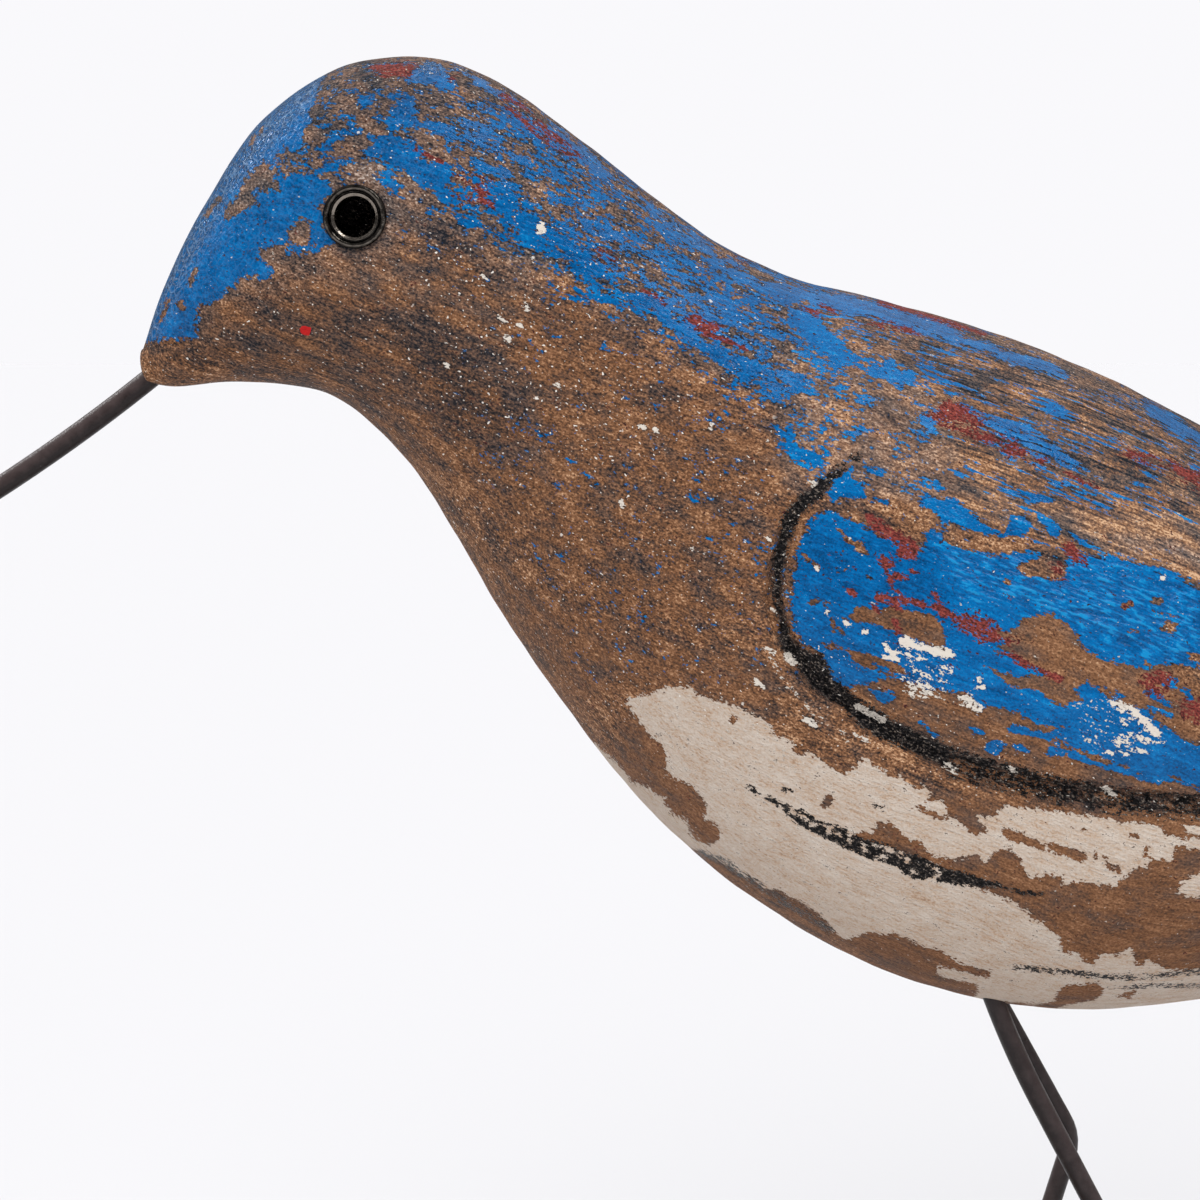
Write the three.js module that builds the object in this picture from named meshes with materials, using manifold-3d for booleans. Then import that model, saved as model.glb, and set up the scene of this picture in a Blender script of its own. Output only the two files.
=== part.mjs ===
// A carved and painted wooden shorebird on bent wire legs, set in a plain sawn block.
//
// The bird is one carving, from its face to its tail. A curved wire is its bill, a metal eyelet
// pressed into each side of its head is an eye, and two bent wires are its legs.
// Millimetres, Z up. The bird faces -X and its left side is -Y.
// The origin is the centre of the block's underside.

import * as THREE from "three";
import { mergeVertices } from "three/addons/utils/BufferGeometryUtils.js";
import Module from "manifold-3d";

const wasm = await Module();
wasm.setup();

// Driving dimensions
const bodyLength = 237.5; // face to tail tip, along X
const wireDiameter = 2.7; // the legs and the bill are of one wire
const pressGap = 0.3; // round a wire or an eyelet in its hole

const legHeight = 93; // from the block's top to the belly between the legs
const hipSpread = 20; // between the legs where they leave the belly
const footSpread = 29; // between the legs where they enter the block
const legDepthInBody = 16;
const legDepthInBlock = 15;
const kneeReach = 3; // a knee's bend starts this far from its corner
const thighReach = 8; // the same for the slight bow at the top of the left leg

const billLength = 60; // what shows of the bill
const billDepth = 11; // what is set into the face
const billRadius = 240; // of its slow upward curve
const billPitch = 38.5; // degrees below level where it leaves the face

const eyeletFlange = 8; // diameter over the rolled rim
const eyeletHole = 5;
const eyeletWall = 0.35; // of the barrel
const eyeletRim = 0.95; // height of the rolled rim
const eyeletBarrel = 5; // length of the barrel behind the rim
const eyeletSink = 0.5; // the rim is seated this far below the cheek's crown
const eyeHoleDepth = 8;

const grooveWidth = 2.4; // round the wing, where it meets the wing's edge
const grooveDepth = 1.5; // below the wing's edge
const bevelWidth = 4.4; // the breast is pared away to the groove over this width
const bevelDepth = 0.8; // and by this much at the groove

const blockLength = 130;
const blockWidth = 78;
const blockThickness = 26;
const blockCorner = 7;
const blockEdge = 2; // worn round by this much

// Where each leg turns, seen from the side: how far along the block in millimetres, and how far
// down from the belly as a share of the leg's height.
const legs = {
  left: { side: -1, hipX: -0.5, turns: [[1.4, 0.054], [23.5, 0.505]], reaches: [thighReach, kneeReach], footX: 17.5 },
  right: { side: 1, hipX: 3, turns: [[16.5, 0.255]], reaches: [kneeReach], footX: -4 },
};

// The carving's sections, from face to tail, in hundredths of the body's length, with heights
// from the belly between the legs. Each is an oval in the plane through its top and bottom points:
// top x, top z, bottom x, bottom z, half width, where it is widest (0 top, 1 bottom), fullness
// (2 is an ellipse, more is squarer).
const sections = [
  [-47.6, 37.6, -47.3, 35.7, 1.1, 0.52, 2.2],
  [-46.4, 41.0, -45.8, 35.5, 2.6, 0.56, 2.3],
  [-44.3, 45.2, -43.4, 35.7, 4.5, 0.56, 2.35],
  [-41.1, 49.9, -40.6, 35.6, 6.1, 0.54, 2.4],
  [-37.1, 52.7, -38.1, 35.2, 7.1, 0.52, 2.4],
  [-32.9, 53.5, -36.2, 34.2, 7.6, 0.5, 2.35],
  [-28.8, 52.5, -34.2, 32.4, 7.8, 0.5, 2.3],
  [-24.7, 49.9, -32.0, 29.6, 8.0, 0.5, 2.25],
  [-20.5, 46.7, -29.9, 26.0, 8.6, 0.5, 2.2],
  [-16.3, 43.7, -27.2, 21.5, 9.9, 0.52, 2.2],
  [-11.6, 41.5, -24.1, 17.0, 11.6, 0.53, 2.2],
  [-6.3, 40.2, -20.2, 12.0, 13.1, 0.54, 2.2],
  [0.0, 38.4, -14.7, 7.0, 14.1, 0.54, 2.2],
  [6.3, 36.0, -7.6, 2.6, 14.5, 0.53, 2.2],
  [12.6, 32.8, 0.4, 0.0, 14.3, 0.52, 2.2],
  [19.4, 29.3, 8.4, -0.4, 13.6, 0.5, 2.2],
  [26.1, 25.8, 16.8, 0.7, 12.2, 0.48, 2.2],
  [32.8, 22.3, 25.3, 2.3, 10.4, 0.46, 2.2],
  [38.7, 19.2, 32.8, 5.2, 8.3, 0.45, 2.25],
  [44.2, 16.3, 40.0, 7.7, 6.5, 0.45, 2.35],
  [48.8, 13.9, 46.3, 9.4, 5.1, 0.47, 2.5],
  [52.2, 12.1, 51.2, 10.2, 4.5, 0.5, 2.8],
];

// The line carved round the front of the wing and under it, from shoulder to wing tip, as x and z.
const wingLine = [
  [-10.7, 31.9],
  [-13.5, 29.5],
  [-15.0, 25.9],
  [-14.4, 22.1],
  [-11.4, 19.0],
  [-5.5, 15.8],
  [2.1, 14.1],
  [12.6, 13.0],
  [24.4, 12.5],
  [33.5, 13.2],
  [41.0, 15.2],
];
const wingLineFade = 0.12; // share of the line over which the cut runs out at each end

const eyePlace = [-36.5, 44.6]; // x and z on the cheek
const billRoot = [-47.2, 36.0]; // where the bill's axis leaves the face
const faceRound = 0.3; // how far the face's blunt end bulges
const tailRound = 0.5; // the same for the tail's

// Fineness of the faceted solids
const ringsPerSection = 2;
const pointsPerRing = 40; // a multiple of 4, so that the widest points are corners
const endRings = 3;
const cutterRings = 42;
const wireSides = 8;
const wireStep = 3;
const eyeletSides = 24;
const rimSteps = 5;

const bellyHeight = blockThickness + legHeight;
const share = bodyLength / 100;
const wireRadius = wireDiameter / 2;
const turnOf = (k, count) => (k / count) * 2 * Math.PI;

// Solids

function solidOf(geometry) {
  const bare = geometry.clone();
  bare.deleteAttribute("normal");
  bare.deleteAttribute("uv");
  const merged = mergeVertices(bare, 1e-4);
  const vertProperties = new Float32Array(merged.attributes.position.array);
  const triVerts = new Uint32Array(merged.index.array);
  return new wasm.Manifold(new wasm.Mesh({ numProp: 3, vertProperties, triVerts }));
}

function geometryOf(solid) {
  const mesh = solid.getMesh();
  const geometry = new THREE.BufferGeometry();
  geometry.setAttribute("position", new THREE.BufferAttribute(mesh.vertProperties, 3));
  geometry.setIndex(new THREE.BufferAttribute(mesh.triVerts, 1));
  geometry.computeVertexNormals();
  return geometry;
}

// The piece with every one of the tools cut out of it.
function cut(geometry, tools) {
  return geometryOf(tools.reduce((solid, tool) => solid.subtract(solidOf(tool)), solidOf(geometry)));
}

// A closed skin over rings of points, between two end points. Seen along the way the rings run,
// each goes round anticlockwise.
function closedSkin(firstPole, rings, lastPole) {
  const count = rings[0].length;
  const points = [firstPole, ...rings.flat(), lastPole];
  const lastPoint = points.length - 1;
  const lastRing = rings.length - 1;
  const at = (ring, k) => 1 + ring * count + (k % count);
  const faces = [];
  for (let k = 0; k < count; k++) {
    faces.push(0, at(0, k), at(0, k + 1));
    faces.push(lastPoint, at(lastRing, k + 1), at(lastRing, k));
    for (let ring = 0; ring < lastRing; ring++) {
      faces.push(at(ring, k), at(ring + 1, k + 1), at(ring, k + 1));
      faces.push(at(ring, k), at(ring + 1, k), at(ring + 1, k + 1));
    }
  }
  const geometry = new THREE.BufferGeometry().setFromPoints(points);
  geometry.setIndex(faces);
  return geometry;
}

// The carving

// A smooth curve through rows of numbers, read at a place between them.
function between(rows, place) {
  const last = rows.length - 1;
  const i = Math.min(Math.max(Math.floor(place), 0), last - 1);
  const t = place - i;
  const mirrored = (end, next) => end.map((value, k) => 2 * value - next[k]);
  const before = rows[i - 1] ?? mirrored(rows[i], rows[i + 1]);
  const after = rows[i + 2] ?? mirrored(rows[i + 1], rows[i]);
  return rows[i].map((b, k) => {
    const [a, c, d] = [before[k], rows[i + 1][k], after[k]];
    const cubic = (3 * b - a - 3 * c + d) * t ** 3;
    return (2 * b + (c - a) * t + (2 * a - 5 * b + 4 * c - d) * t ** 2 + cubic) / 2;
  });
}

function sectionAt(place) {
  const [topX, topZ, bottomX, bottomZ, halfWidth, widest, fullness] = between(sections, place);
  return {
    top: new THREE.Vector2(topX, topZ).multiplyScalar(share),
    bottom: new THREE.Vector2(bottomX, bottomZ).multiplyScalar(share),
    halfWidth: halfWidth * share,
    widest,
    power: 2 / fullness,
  };
}

// A point of the skin: angle 0 is the top of the section, and the right side comes first.
function skinAt(place, angle) {
  const { top, bottom, halfWidth, widest, power } = sectionAt(place);
  const upright = Math.abs(Math.cos(angle)) ** power;
  const down = Math.cos(angle) >= 0 ? widest * (1 - upright) : widest + (1 - widest) * upright;
  const at = top.clone().lerp(bottom, down);
  const y = Math.sign(Math.sin(angle)) * halfWidth * Math.abs(Math.sin(angle)) ** power;
  return new THREE.Vector3(at.x, y, at.y);
}

function ringAt(place) {
  return Array.from({ length: pointsPerRing }, (_, k) => skinAt(place, turnOf(k, pointsPerRing)));
}

// Rings that round off an end of the carving, outwards from its last section, and the end point.
function roundedEnd(place, bulge) {
  const { top, bottom } = sectionAt(place);
  const middle = new THREE.Vector3((top.x + bottom.x) / 2, 0, (top.y + bottom.y) / 2);
  const facing = new THREE.Vector3(top.y - bottom.y, 0, bottom.x - top.x).setLength(1);
  facing.multiplyScalar(bulge * share);
  const rings = [];
  for (let i = 1; i < endRings; i++) {
    const turn = ((i / endRings) * Math.PI) / 2;
    const middleOut = middle.clone().addScaledVector(facing, Math.sin(turn));
    const shrink = (p) => p.sub(middle).multiplyScalar(Math.cos(turn)).add(middleOut);
    rings.push(ringAt(place).map(shrink));
  }
  return { rings, pole: middle.add(facing) };
}

function carving() {
  const lastPlace = sections.length - 1;
  const rings = [];
  for (let i = 0; i <= lastPlace * ringsPerSection; i++) rings.push(ringAt(i / ringsPerSection));
  const face = roundedEnd(0, -faceRound);
  const tail = roundedEnd(lastPlace, tailRound);
  return closedSkin(face.pole, [...face.rings.reverse(), ...rings, ...tail.rings], tail.pole);
}

// Half the body's width at a point seen from the side.
function halfWidthAt(x, z) {
  const isBehind = (place) => {
    const { top, bottom } = sectionAt(place);
    return (bottom.x - top.x) * (z - top.y) - (bottom.y - top.y) * (x - top.x) > 0;
  };
  let [low, high] = [0, sections.length - 1];
  while (high - low > 1e-5) {
    const middle = (low + high) / 2;
    if (isBehind(middle)) low = middle;
    else high = middle;
  }
  const { top, bottom, halfWidth, widest, power } = sectionAt(low);
  const down = (top.y - z) / (top.y - bottom.y);
  const fromWidest = down < widest ? 1 - down / widest : (down - widest) / (1 - widest);
  const upright = THREE.MathUtils.clamp(fromWidest, 0, 1) ** (1 / power);
  return halfWidth * Math.sqrt(1 - upright ** 2) ** power;
}

// The point of the left (-1) or right (1) side over x and z, and the way the skin faces there.
function sideAt(x, z, side) {
  const nudge = 1;
  const alongX = (halfWidthAt(x + nudge, z) - halfWidthAt(x - nudge, z)) / (2 * nudge);
  const alongZ = (halfWidthAt(x, z + nudge) - halfWidthAt(x, z - nudge)) / (2 * nudge);
  return {
    point: new THREE.Vector3(x, side * halfWidthAt(x, z), z),
    out: new THREE.Vector3(-alongX, side, -alongZ).normalize(),
  };
}

// The gouge that cuts a wing's groove and pares the breast down to it. Its section is drawn
// across the groove, towards the breast, and outwards. It climbs out of the wood at both ends.
function wingCutter(side) {
  const half = grooveWidth / 2;
  const clear = grooveDepth * 2;
  const section = [
    [-half - clear / 4, clear],
    [half + 1.5 * bevelWidth, clear],
    [half + 1.5 * bevelWidth, bevelDepth / 2],
    [half, -bevelDepth],
    [half / 2, -grooveDepth],
    [-half / 2, -grooveDepth],
    [-half, 0],
  ];
  if (side < 0) section.reverse();
  const line = new THREE.CatmullRomCurve3(
    wingLine.map(([x, z]) => new THREE.Vector3(x * share, 0, z * share)),
    false,
    "centripetal",
  );
  const seats = line.getSpacedPoints(cutterRings).map(({ x, z }) => sideAt(x, z, side));
  const rings = seats.map(({ point, out }, i) => {
    const next = seats[Math.min(i + 1, cutterRings)].point;
    const last = seats[Math.max(i - 1, 0)].point;
    const across = next.clone().sub(last).cross(out).setLength(-side);
    const along = i / cutterRings;
    const depth = THREE.MathUtils.smoothstep(Math.min(along, 1 - along), 0, wingLineFade);
    const raise = (1 - depth) * (grooveDepth + pressGap);
    return section.map(([a, b]) =>
      point
        .clone()
        .addScaledVector(across, a)
        .addScaledVector(out, b + raise),
    );
  });
  const pole = (i) => seats[i].point.clone().addScaledVector(seats[i].out, clear);
  return closedSkin(pole(0), rings, pole(cutterRings));
}

// Wires

// A path through corners, with a soft bend at each that starts and ends its reach away.
function bentPath(points, reaches) {
  const path = new THREE.CurvePath();
  let from = points[0];
  for (let i = 1; i + 1 < points.length; i++) {
    const corner = points[i];
    const towards = (other) => other.clone().sub(corner).setLength(reaches[i - 1]).add(corner);
    const [into, out] = [towards(points[i - 1]), towards(points[i + 1])];
    path.add(new THREE.LineCurve3(from, into));
    path.add(new THREE.QuadraticBezierCurve3(into, corner, out));
    from = out;
  }
  path.add(new THREE.LineCurve3(from, points[points.length - 1]));
  return path;
}

// A leg's path from inside the belly to inside the block, with more added at both ends.
function legPath({ side, hipX, turns, reaches, footX }, more) {
  const point = (x, down) =>
    new THREE.Vector3(x, (side * THREE.MathUtils.lerp(hipSpread, footSpread, down)) / 2, -down * legHeight);
  const corners = turns.map(([x, down]) => point(x, down));
  const beyond = (end, inner, length) => end.clone().sub(inner).setLength(length).add(end);
  const top = beyond(point(hipX, 0), corners[0], legDepthInBody + more);
  const bottom = beyond(point(footX, 1), corners[corners.length - 1], legDepthInBlock + more);
  return bentPath([top, ...corners, bottom], reaches);
}

// The bill's path: straight inside the face, then a slow curve that lifts towards the tip.
function billPath(more) {
  const pitch = THREE.MathUtils.degToRad(billPitch);
  const root = new THREE.Vector3(billRoot[0] * share, 0, billRoot[1] * share);
  const onCircle = (angle) => new THREE.Vector3(Math.sin(angle), 0, -Math.cos(angle)).multiplyScalar(billRadius);
  const centre = root.clone().sub(onCircle(pitch));
  const pointAt = (length) => onCircle(pitch - length / billRadius).add(centre);
  const inwards = new THREE.Vector3(Math.cos(pitch), 0, Math.sin(pitch));
  const path = new THREE.CurvePath();
  path.add(new THREE.LineCurve3(root.clone().addScaledVector(inwards, billDepth + more), root));
  const steps = Math.round(billLength / wireStep);
  for (let i = 0; i < steps; i++) {
    path.add(new THREE.LineCurve3(pointAt((i * billLength) / steps), pointAt(((i + 1) * billLength) / steps)));
  }
  return path;
}

function rod(path, radius) {
  const corner = (k) =>
    new THREE.Vector2(radius * Math.cos(turnOf(k, wireSides)), radius * Math.sin(turnOf(k, wireSides)));
  const section = new THREE.Shape(Array.from({ length: wireSides }, (_, k) => corner(k)));
  const steps = Math.round(path.getLength() / wireStep);
  return new THREE.ExtrudeGeometry(section, { extrudePath: path, steps });
}

const wire = (pathOf) => rod(pathOf(0), wireRadius);
const wireHole = (pathOf) => rod(pathOf(pressGap), wireRadius + pressGap);
const legPathOf = (leg) => (more) => legPath(leg, more);

// Eyelets

function eyeSeat(side) {
  const { point, out } = sideAt(eyePlace[0] * share, eyePlace[1] * share, side);
  const turn = new THREE.Quaternion().setFromUnitVectors(new THREE.Vector3(0, 0, 1), out);
  return { seat: point.addScaledVector(out, -eyeletSink), turn };
}

// An eyelet about Z, with its rim resting on Z = 0: a rolled rim round an open barrel.
function eyeletGeometry() {
  const inner = eyeletHole / 2;
  const barrel = inner + eyeletWall;
  const outer = eyeletFlange / 2;
  const profile = [
    [inner, -eyeletBarrel],
    [barrel, -eyeletBarrel],
    [barrel, 0],
    [outer, 0],
  ];
  for (let i = 0; i <= rimSteps; i++) {
    const turn = (i / rimSteps) * Math.PI;
    const height = (eyeletRim * (1 + 3 * Math.sin(turn))) / 4;
    profile.push([(outer + inner + (outer - inner) * Math.cos(turn)) / 2, height]);
  }
  profile.push(profile[0]);
  const points = profile.map(([radius, height]) => new THREE.Vector2(radius, height));
  return new THREE.LatheGeometry(points, eyeletSides).rotateX(Math.PI / 2);
}

// The drilled hole for an eyelet's barrel, and the flat seat for its rim.
function eyeCutters(side) {
  const { seat, turn } = eyeSeat(side);
  const above = eyeletFlange;
  const drill = (radius, depth) =>
    new THREE.CylinderGeometry(radius, radius, depth + above, eyeletSides)
      .rotateX(Math.PI / 2)
      .translate(0, 0, (above - depth) / 2)
      .applyQuaternion(turn)
      .translate(seat.x, seat.y, seat.z);
  const barrel = eyeletHole / 2 + eyeletWall + pressGap;
  const rim = eyeletFlange / 2 + pressGap;
  return [drill(barrel, eyeHoleDepth), drill(rim, pressGap)];
}

// Pieces

const finish = (color, roughness, metalness) => new THREE.MeshStandardMaterial({ color, roughness, metalness });
const paintedWood = finish(0x3f6a92, 0.6, 0);
const darkWire = finish(0x3b3331, 0.5, 0.7);
const darkEyelet = finish(0x1c1a17, 0.35, 0.85);
const barnWood = finish(0x7d5a3c, 0.8, 0);

function piece(name, geometry, material) {
  const mesh = new THREE.Mesh(geometry, material);
  mesh.name = name;
  return mesh;
}

function carvedBody() {
  const cutters = Object.values(legs).flatMap((leg) => [
    wingCutter(leg.side),
    ...eyeCutters(leg.side),
    wireHole(legPathOf(leg)),
  ]);
  return piece("body", cut(carving(), [...cutters, wireHole(billPath)]), paintedWood);
}

function eyelet(name, side) {
  const mesh = piece(name, eyeletGeometry(), darkEyelet);
  const { seat, turn } = eyeSeat(side);
  mesh.quaternion.copy(turn);
  mesh.position.copy(seat);
  return mesh;
}

function sawnBlock() {
  const [halfLength, halfWidth] = [blockLength / 2 - blockEdge, blockWidth / 2 - blockEdge];
  const corner = blockCorner - blockEdge;
  const [cornerX, cornerY] = [halfLength - corner, halfWidth - corner];
  const plan = new THREE.Shape();
  plan.absarc(cornerX, -cornerY, corner, -Math.PI / 2, 0);
  plan.absarc(cornerX, cornerY, corner, 0, Math.PI / 2);
  plan.absarc(-cornerX, cornerY, corner, Math.PI / 2, Math.PI);
  plan.absarc(-cornerX, -cornerY, corner, Math.PI, 1.5 * Math.PI);
  const block = new THREE.ExtrudeGeometry(plan, {
    depth: blockThickness - 2 * blockEdge,
    bevelThickness: blockEdge,
    bevelSize: blockEdge,
    bevelSegments: 2,
    curveSegments: 5,
  }).translate(0, 0, blockEdge);
  const holes = Object.values(legs).map((leg) => wireHole(legPathOf(leg)).translate(0, 0, bellyHeight));
  return piece("base_block", cut(block, holes), barnWood);
}

const bird = new THREE.Group();
bird.position.z = bellyHeight;
bird.add(carvedBody(), piece("bill", wire(billPath), darkWire));
for (const [name, leg] of Object.entries(legs)) {
  bird.add(eyelet(`eye_${name}`, leg.side), piece(`leg_${name}`, wire(legPathOf(leg)), darkWire));
}

const shorebird = new THREE.Group();
shorebird.add(sawnBlock(), bird);

export default shorebird;
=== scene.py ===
# %% [markdown]
# # A painted shorebird, cell by cell
# The bird is one softwood carving under several worn coats of paint, with a wire bill, eyelet
# eyes and wire legs in a sawn block. A packed CAD model already gives every size and place.
# This lesson keeps those and adds what a hand would feel: the carved edge of the wing, worn
# grain, chipped coats, rolled metal and weathered wood.

# %% Open the packed frame
import math
import bmesh
import bpy
import numpy as np
from mathutils import Matrix, Vector


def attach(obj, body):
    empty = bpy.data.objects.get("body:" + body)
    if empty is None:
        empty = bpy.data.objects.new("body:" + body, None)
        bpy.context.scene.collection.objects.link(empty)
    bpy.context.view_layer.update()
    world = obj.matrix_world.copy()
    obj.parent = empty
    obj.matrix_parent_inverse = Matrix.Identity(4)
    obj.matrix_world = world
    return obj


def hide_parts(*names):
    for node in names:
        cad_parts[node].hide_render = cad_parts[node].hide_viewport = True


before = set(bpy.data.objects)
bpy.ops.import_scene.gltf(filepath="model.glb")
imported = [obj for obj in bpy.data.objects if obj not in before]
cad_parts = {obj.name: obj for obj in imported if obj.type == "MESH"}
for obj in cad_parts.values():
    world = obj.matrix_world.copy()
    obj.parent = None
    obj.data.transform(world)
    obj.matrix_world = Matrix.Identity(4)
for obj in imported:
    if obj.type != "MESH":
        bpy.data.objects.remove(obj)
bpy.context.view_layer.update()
MM = 0.001  # the cells work in millimetres, the scene is in metres
print("pieces in the frame:", sorted(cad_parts))

# %% [markdown]
# ## Camera
# The photo is a close view of the bird's left side, a little from its front and from above.
# The camera is set by where it looks, how far off it is and how far it is turned. The same
# numbers let a later cell ask which photo pixel shows a point of the wood, which is how the
# coats of paint get their places.

# %% Set the camera
PHOTO_SIZE = 1200
LENS = 90
SENSOR = 36
VIEW_TURN = math.radians(-8)
VIEW_HEIGHT = math.radians(6)
VIEW_DISTANCE = 400
VIEW_AIM = np.array([-53.3, 0, 174.7])

level = math.cos(VIEW_HEIGHT)
view_back = np.array([math.sin(VIEW_TURN) * level, -math.cos(VIEW_TURN) * level, math.sin(VIEW_HEIGHT)])
view_right = np.array([math.cos(VIEW_TURN), math.sin(VIEW_TURN), 0])
view_up = np.cross(view_back, view_right)
view_place = VIEW_AIM + VIEW_DISTANCE * view_back

camera = bpy.data.objects.new("camera", bpy.data.cameras.new("camera"))
camera.data.lens = LENS
camera.data.sensor_width = SENSOR
camera.data.clip_start = 0.01
placed = Matrix([*zip(view_right, view_up, view_back)]).to_4x4()
placed.translation = Vector(view_place * MM)
camera.matrix_world = placed
bpy.context.scene.collection.objects.link(camera)
bpy.context.scene.camera = camera


def in_photo(points):
    """The photo pixels that show these points."""
    away = points - view_place
    scale = PHOTO_SIZE * LENS / SENSOR / -(away @ view_back)
    return np.stack([away @ view_right * scale, -(away @ view_up) * scale], -1) + PHOTO_SIZE / 2


print("the aim is shown at pixel", in_photo(VIEW_AIM))

# %% [markdown]
# ## Light and floor
# The bird stands before an even, nearly white backdrop that curves overhead. The room around it
# is dark on the camera's side and low down on the others. Paint that faces the camera mirrors
# the dark room and keeps its deep colour, while upturned paint mirrors the bright overhead. A
# wide fill light is so soft that it isn't mirrored. Two smaller lights are, one high on the
# right and one behind the head, and they draw the bright lines on the wing, the forehead and
# the eyelet. The floor's paleness is worked out so that it is as bright as the backdrop: no
# horizon shows.

# %% Light the set and lay the floor
WALLS = (0.95, 0.945, 0.97)
DARK_TOWARDS = (-0.14, -0.98, 0.12)
DARK_EDGE = (-0.12, 0.42)  # cosines of the angles where the dark starts and is full
DARK_LIGHT = 0.14
LOW_DARK = (0.3, 0.58)  # how high the backdrop starts to be bright, and where it is full
LIGHTS = {  # the way towards it, strength, spread in degrees, whether it is mirrored
    "soft_fill": ((-0.28, -0.76, 0.6), 2.3, 40, False),
    "key": ((0.42, -0.42, 0.8), 0.9, 20, True),
    "rim": ((-0.64, 0.48, 0.6), 1.05, 14, True),
}
FLOOR_RADIUS = 8
SKY_SAMPLES = 4000
GOLDEN_TURN = 2.39996  # radians that spread points evenly round a circle


def is_link(value):
    return isinstance(value, bpy.types.NodeSocket)


def add_node(tree, kind, inputs, **settings):
    """A shader node with its settings, and its sockets filled with numbers or links."""
    made = tree.nodes.new("ShaderNode" + kind)
    for key, value in settings.items():
        setattr(made, key, value)
    for key, value in inputs.items():
        if is_link(value):
            tree.links.new(value, made.inputs[key])
        else:
            made.inputs[key].default_value = value
    return made


def ease(value, start, end):
    """0 before the start and 1 after the end, with a soft slope between."""
    share = np.clip((value - start) / (end - start), 0, 1)
    return share * share * (3 - 2 * share)


def smooth_share(tree, value, edges, first, last):
    """The same soft slope as a node, from the first number to the last."""
    inputs = {0: value, 1: edges[0], 2: edges[1], 3: first, 4: last}
    return add_node(tree, "MapRange", inputs, interpolation_type="SMOOTHSTEP").outputs[0]


scene = bpy.context.scene
scene.view_settings.view_transform = "Standard"
room = bpy.data.worlds.new("studio")
scene.world = room
room.use_nodes = True
room_tree = room.node_tree
looking = add_node(room_tree, "TexCoord", {}).outputs["Generated"]
to_dark = np.array(DARK_TOWARDS) / np.linalg.norm(DARK_TOWARDS)
facing = add_node(room_tree, "VectorMath", {0: looking, 1: tuple(to_dark)}, operation="DOT_PRODUCT")
height = add_node(room_tree, "SeparateXYZ", {0: looking}).outputs["Z"]
dimmed = smooth_share(room_tree, facing.outputs["Value"], DARK_EDGE, 1, DARK_LIGHT)
low = smooth_share(room_tree, height, LOW_DARK, DARK_LIGHT, 1)
darker = add_node(room_tree, "Math", {0: dimmed, 1: low}, operation="MINIMUM").outputs[0]
seen = add_node(room_tree, "LightPath", {}).outputs["Is Camera Ray"]
wall_light = room_tree.nodes["Background"].inputs
wall_light["Color"].default_value = (*WALLS, 1)
# the backdrop looks whole to the camera from every side
strength = add_node(room_tree, "Math", {0: darker, 1: seen}, operation="MAXIMUM").outputs[0]
room_tree.links.new(strength, wall_light["Strength"])

lamp_light = 0
for name, (towards, power, spread, mirrored_in_paint) in LIGHTS.items():
    lamp = bpy.data.objects.new(name, bpy.data.lights.new(name, "SUN"))
    towards = Vector(towards).normalized()
    lamp.data.energy = power
    lamp.data.angle = math.radians(spread)
    lamp.rotation_euler = towards.to_track_quat("Z", "Y").to_euler()
    lamp.visible_glossy = mirrored_in_paint
    scene.collection.objects.link(lamp)
    lamp_light += power * towards.z / math.pi

turns = np.arange(SKY_SAMPLES) * GOLDEN_TURN
heights = np.sqrt((np.arange(SKY_SAMPLES) + 0.5) / SKY_SAMPLES)  # even shares of a level floor's light
flats = np.sqrt(1 - heights**2)
sky = np.stack([flats * np.cos(turns), flats * np.sin(turns), heights], 1)
brightest = np.minimum(1 - ease(sky @ to_dark, *DARK_EDGE), ease(heights, *LOW_DARK))
backdrop_share = float((DARK_LIGHT + (1 - DARK_LIGHT) * brightest).mean())
floor_pale = tuple(c / (c * backdrop_share + lamp_light) for c in WALLS)
bpy.ops.mesh.primitive_circle_add(vertices=96, radius=FLOOR_RADIUS, fill_type="TRIFAN")
floor = bpy.context.object
floor.name = "floor"
floor_paint = bpy.data.materials.new("pale_floor")
floor_paint.use_nodes = True
floor_shader = floor_paint.node_tree.nodes["Principled BSDF"].inputs
floor_shader["Base Color"].default_value = (*floor_pale, 1)
floor_shader["Roughness"].default_value = 1
floor_shader["Specular IOR Level"].default_value = 0
floor.data.materials.append(floor_paint)
print("the floor gets", round(backdrop_share, 3), "of the backdrop's light")

# %% [markdown]
# ## The carving's form
# A carver cuts the side view from a board, then the top view, then rounds it. The form here is
# a row of oval sections from face to tail, the same as the frame's, joined by smooth curves.
# Working from the sections instead of the frame's mesh allows far finer skin where paint edges
# and carved lines need it.

# %% The sections
BODY_LENGTH = 237.5
BELLY_HEIGHT = 119
SHARE = BODY_LENGTH / 100

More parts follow.
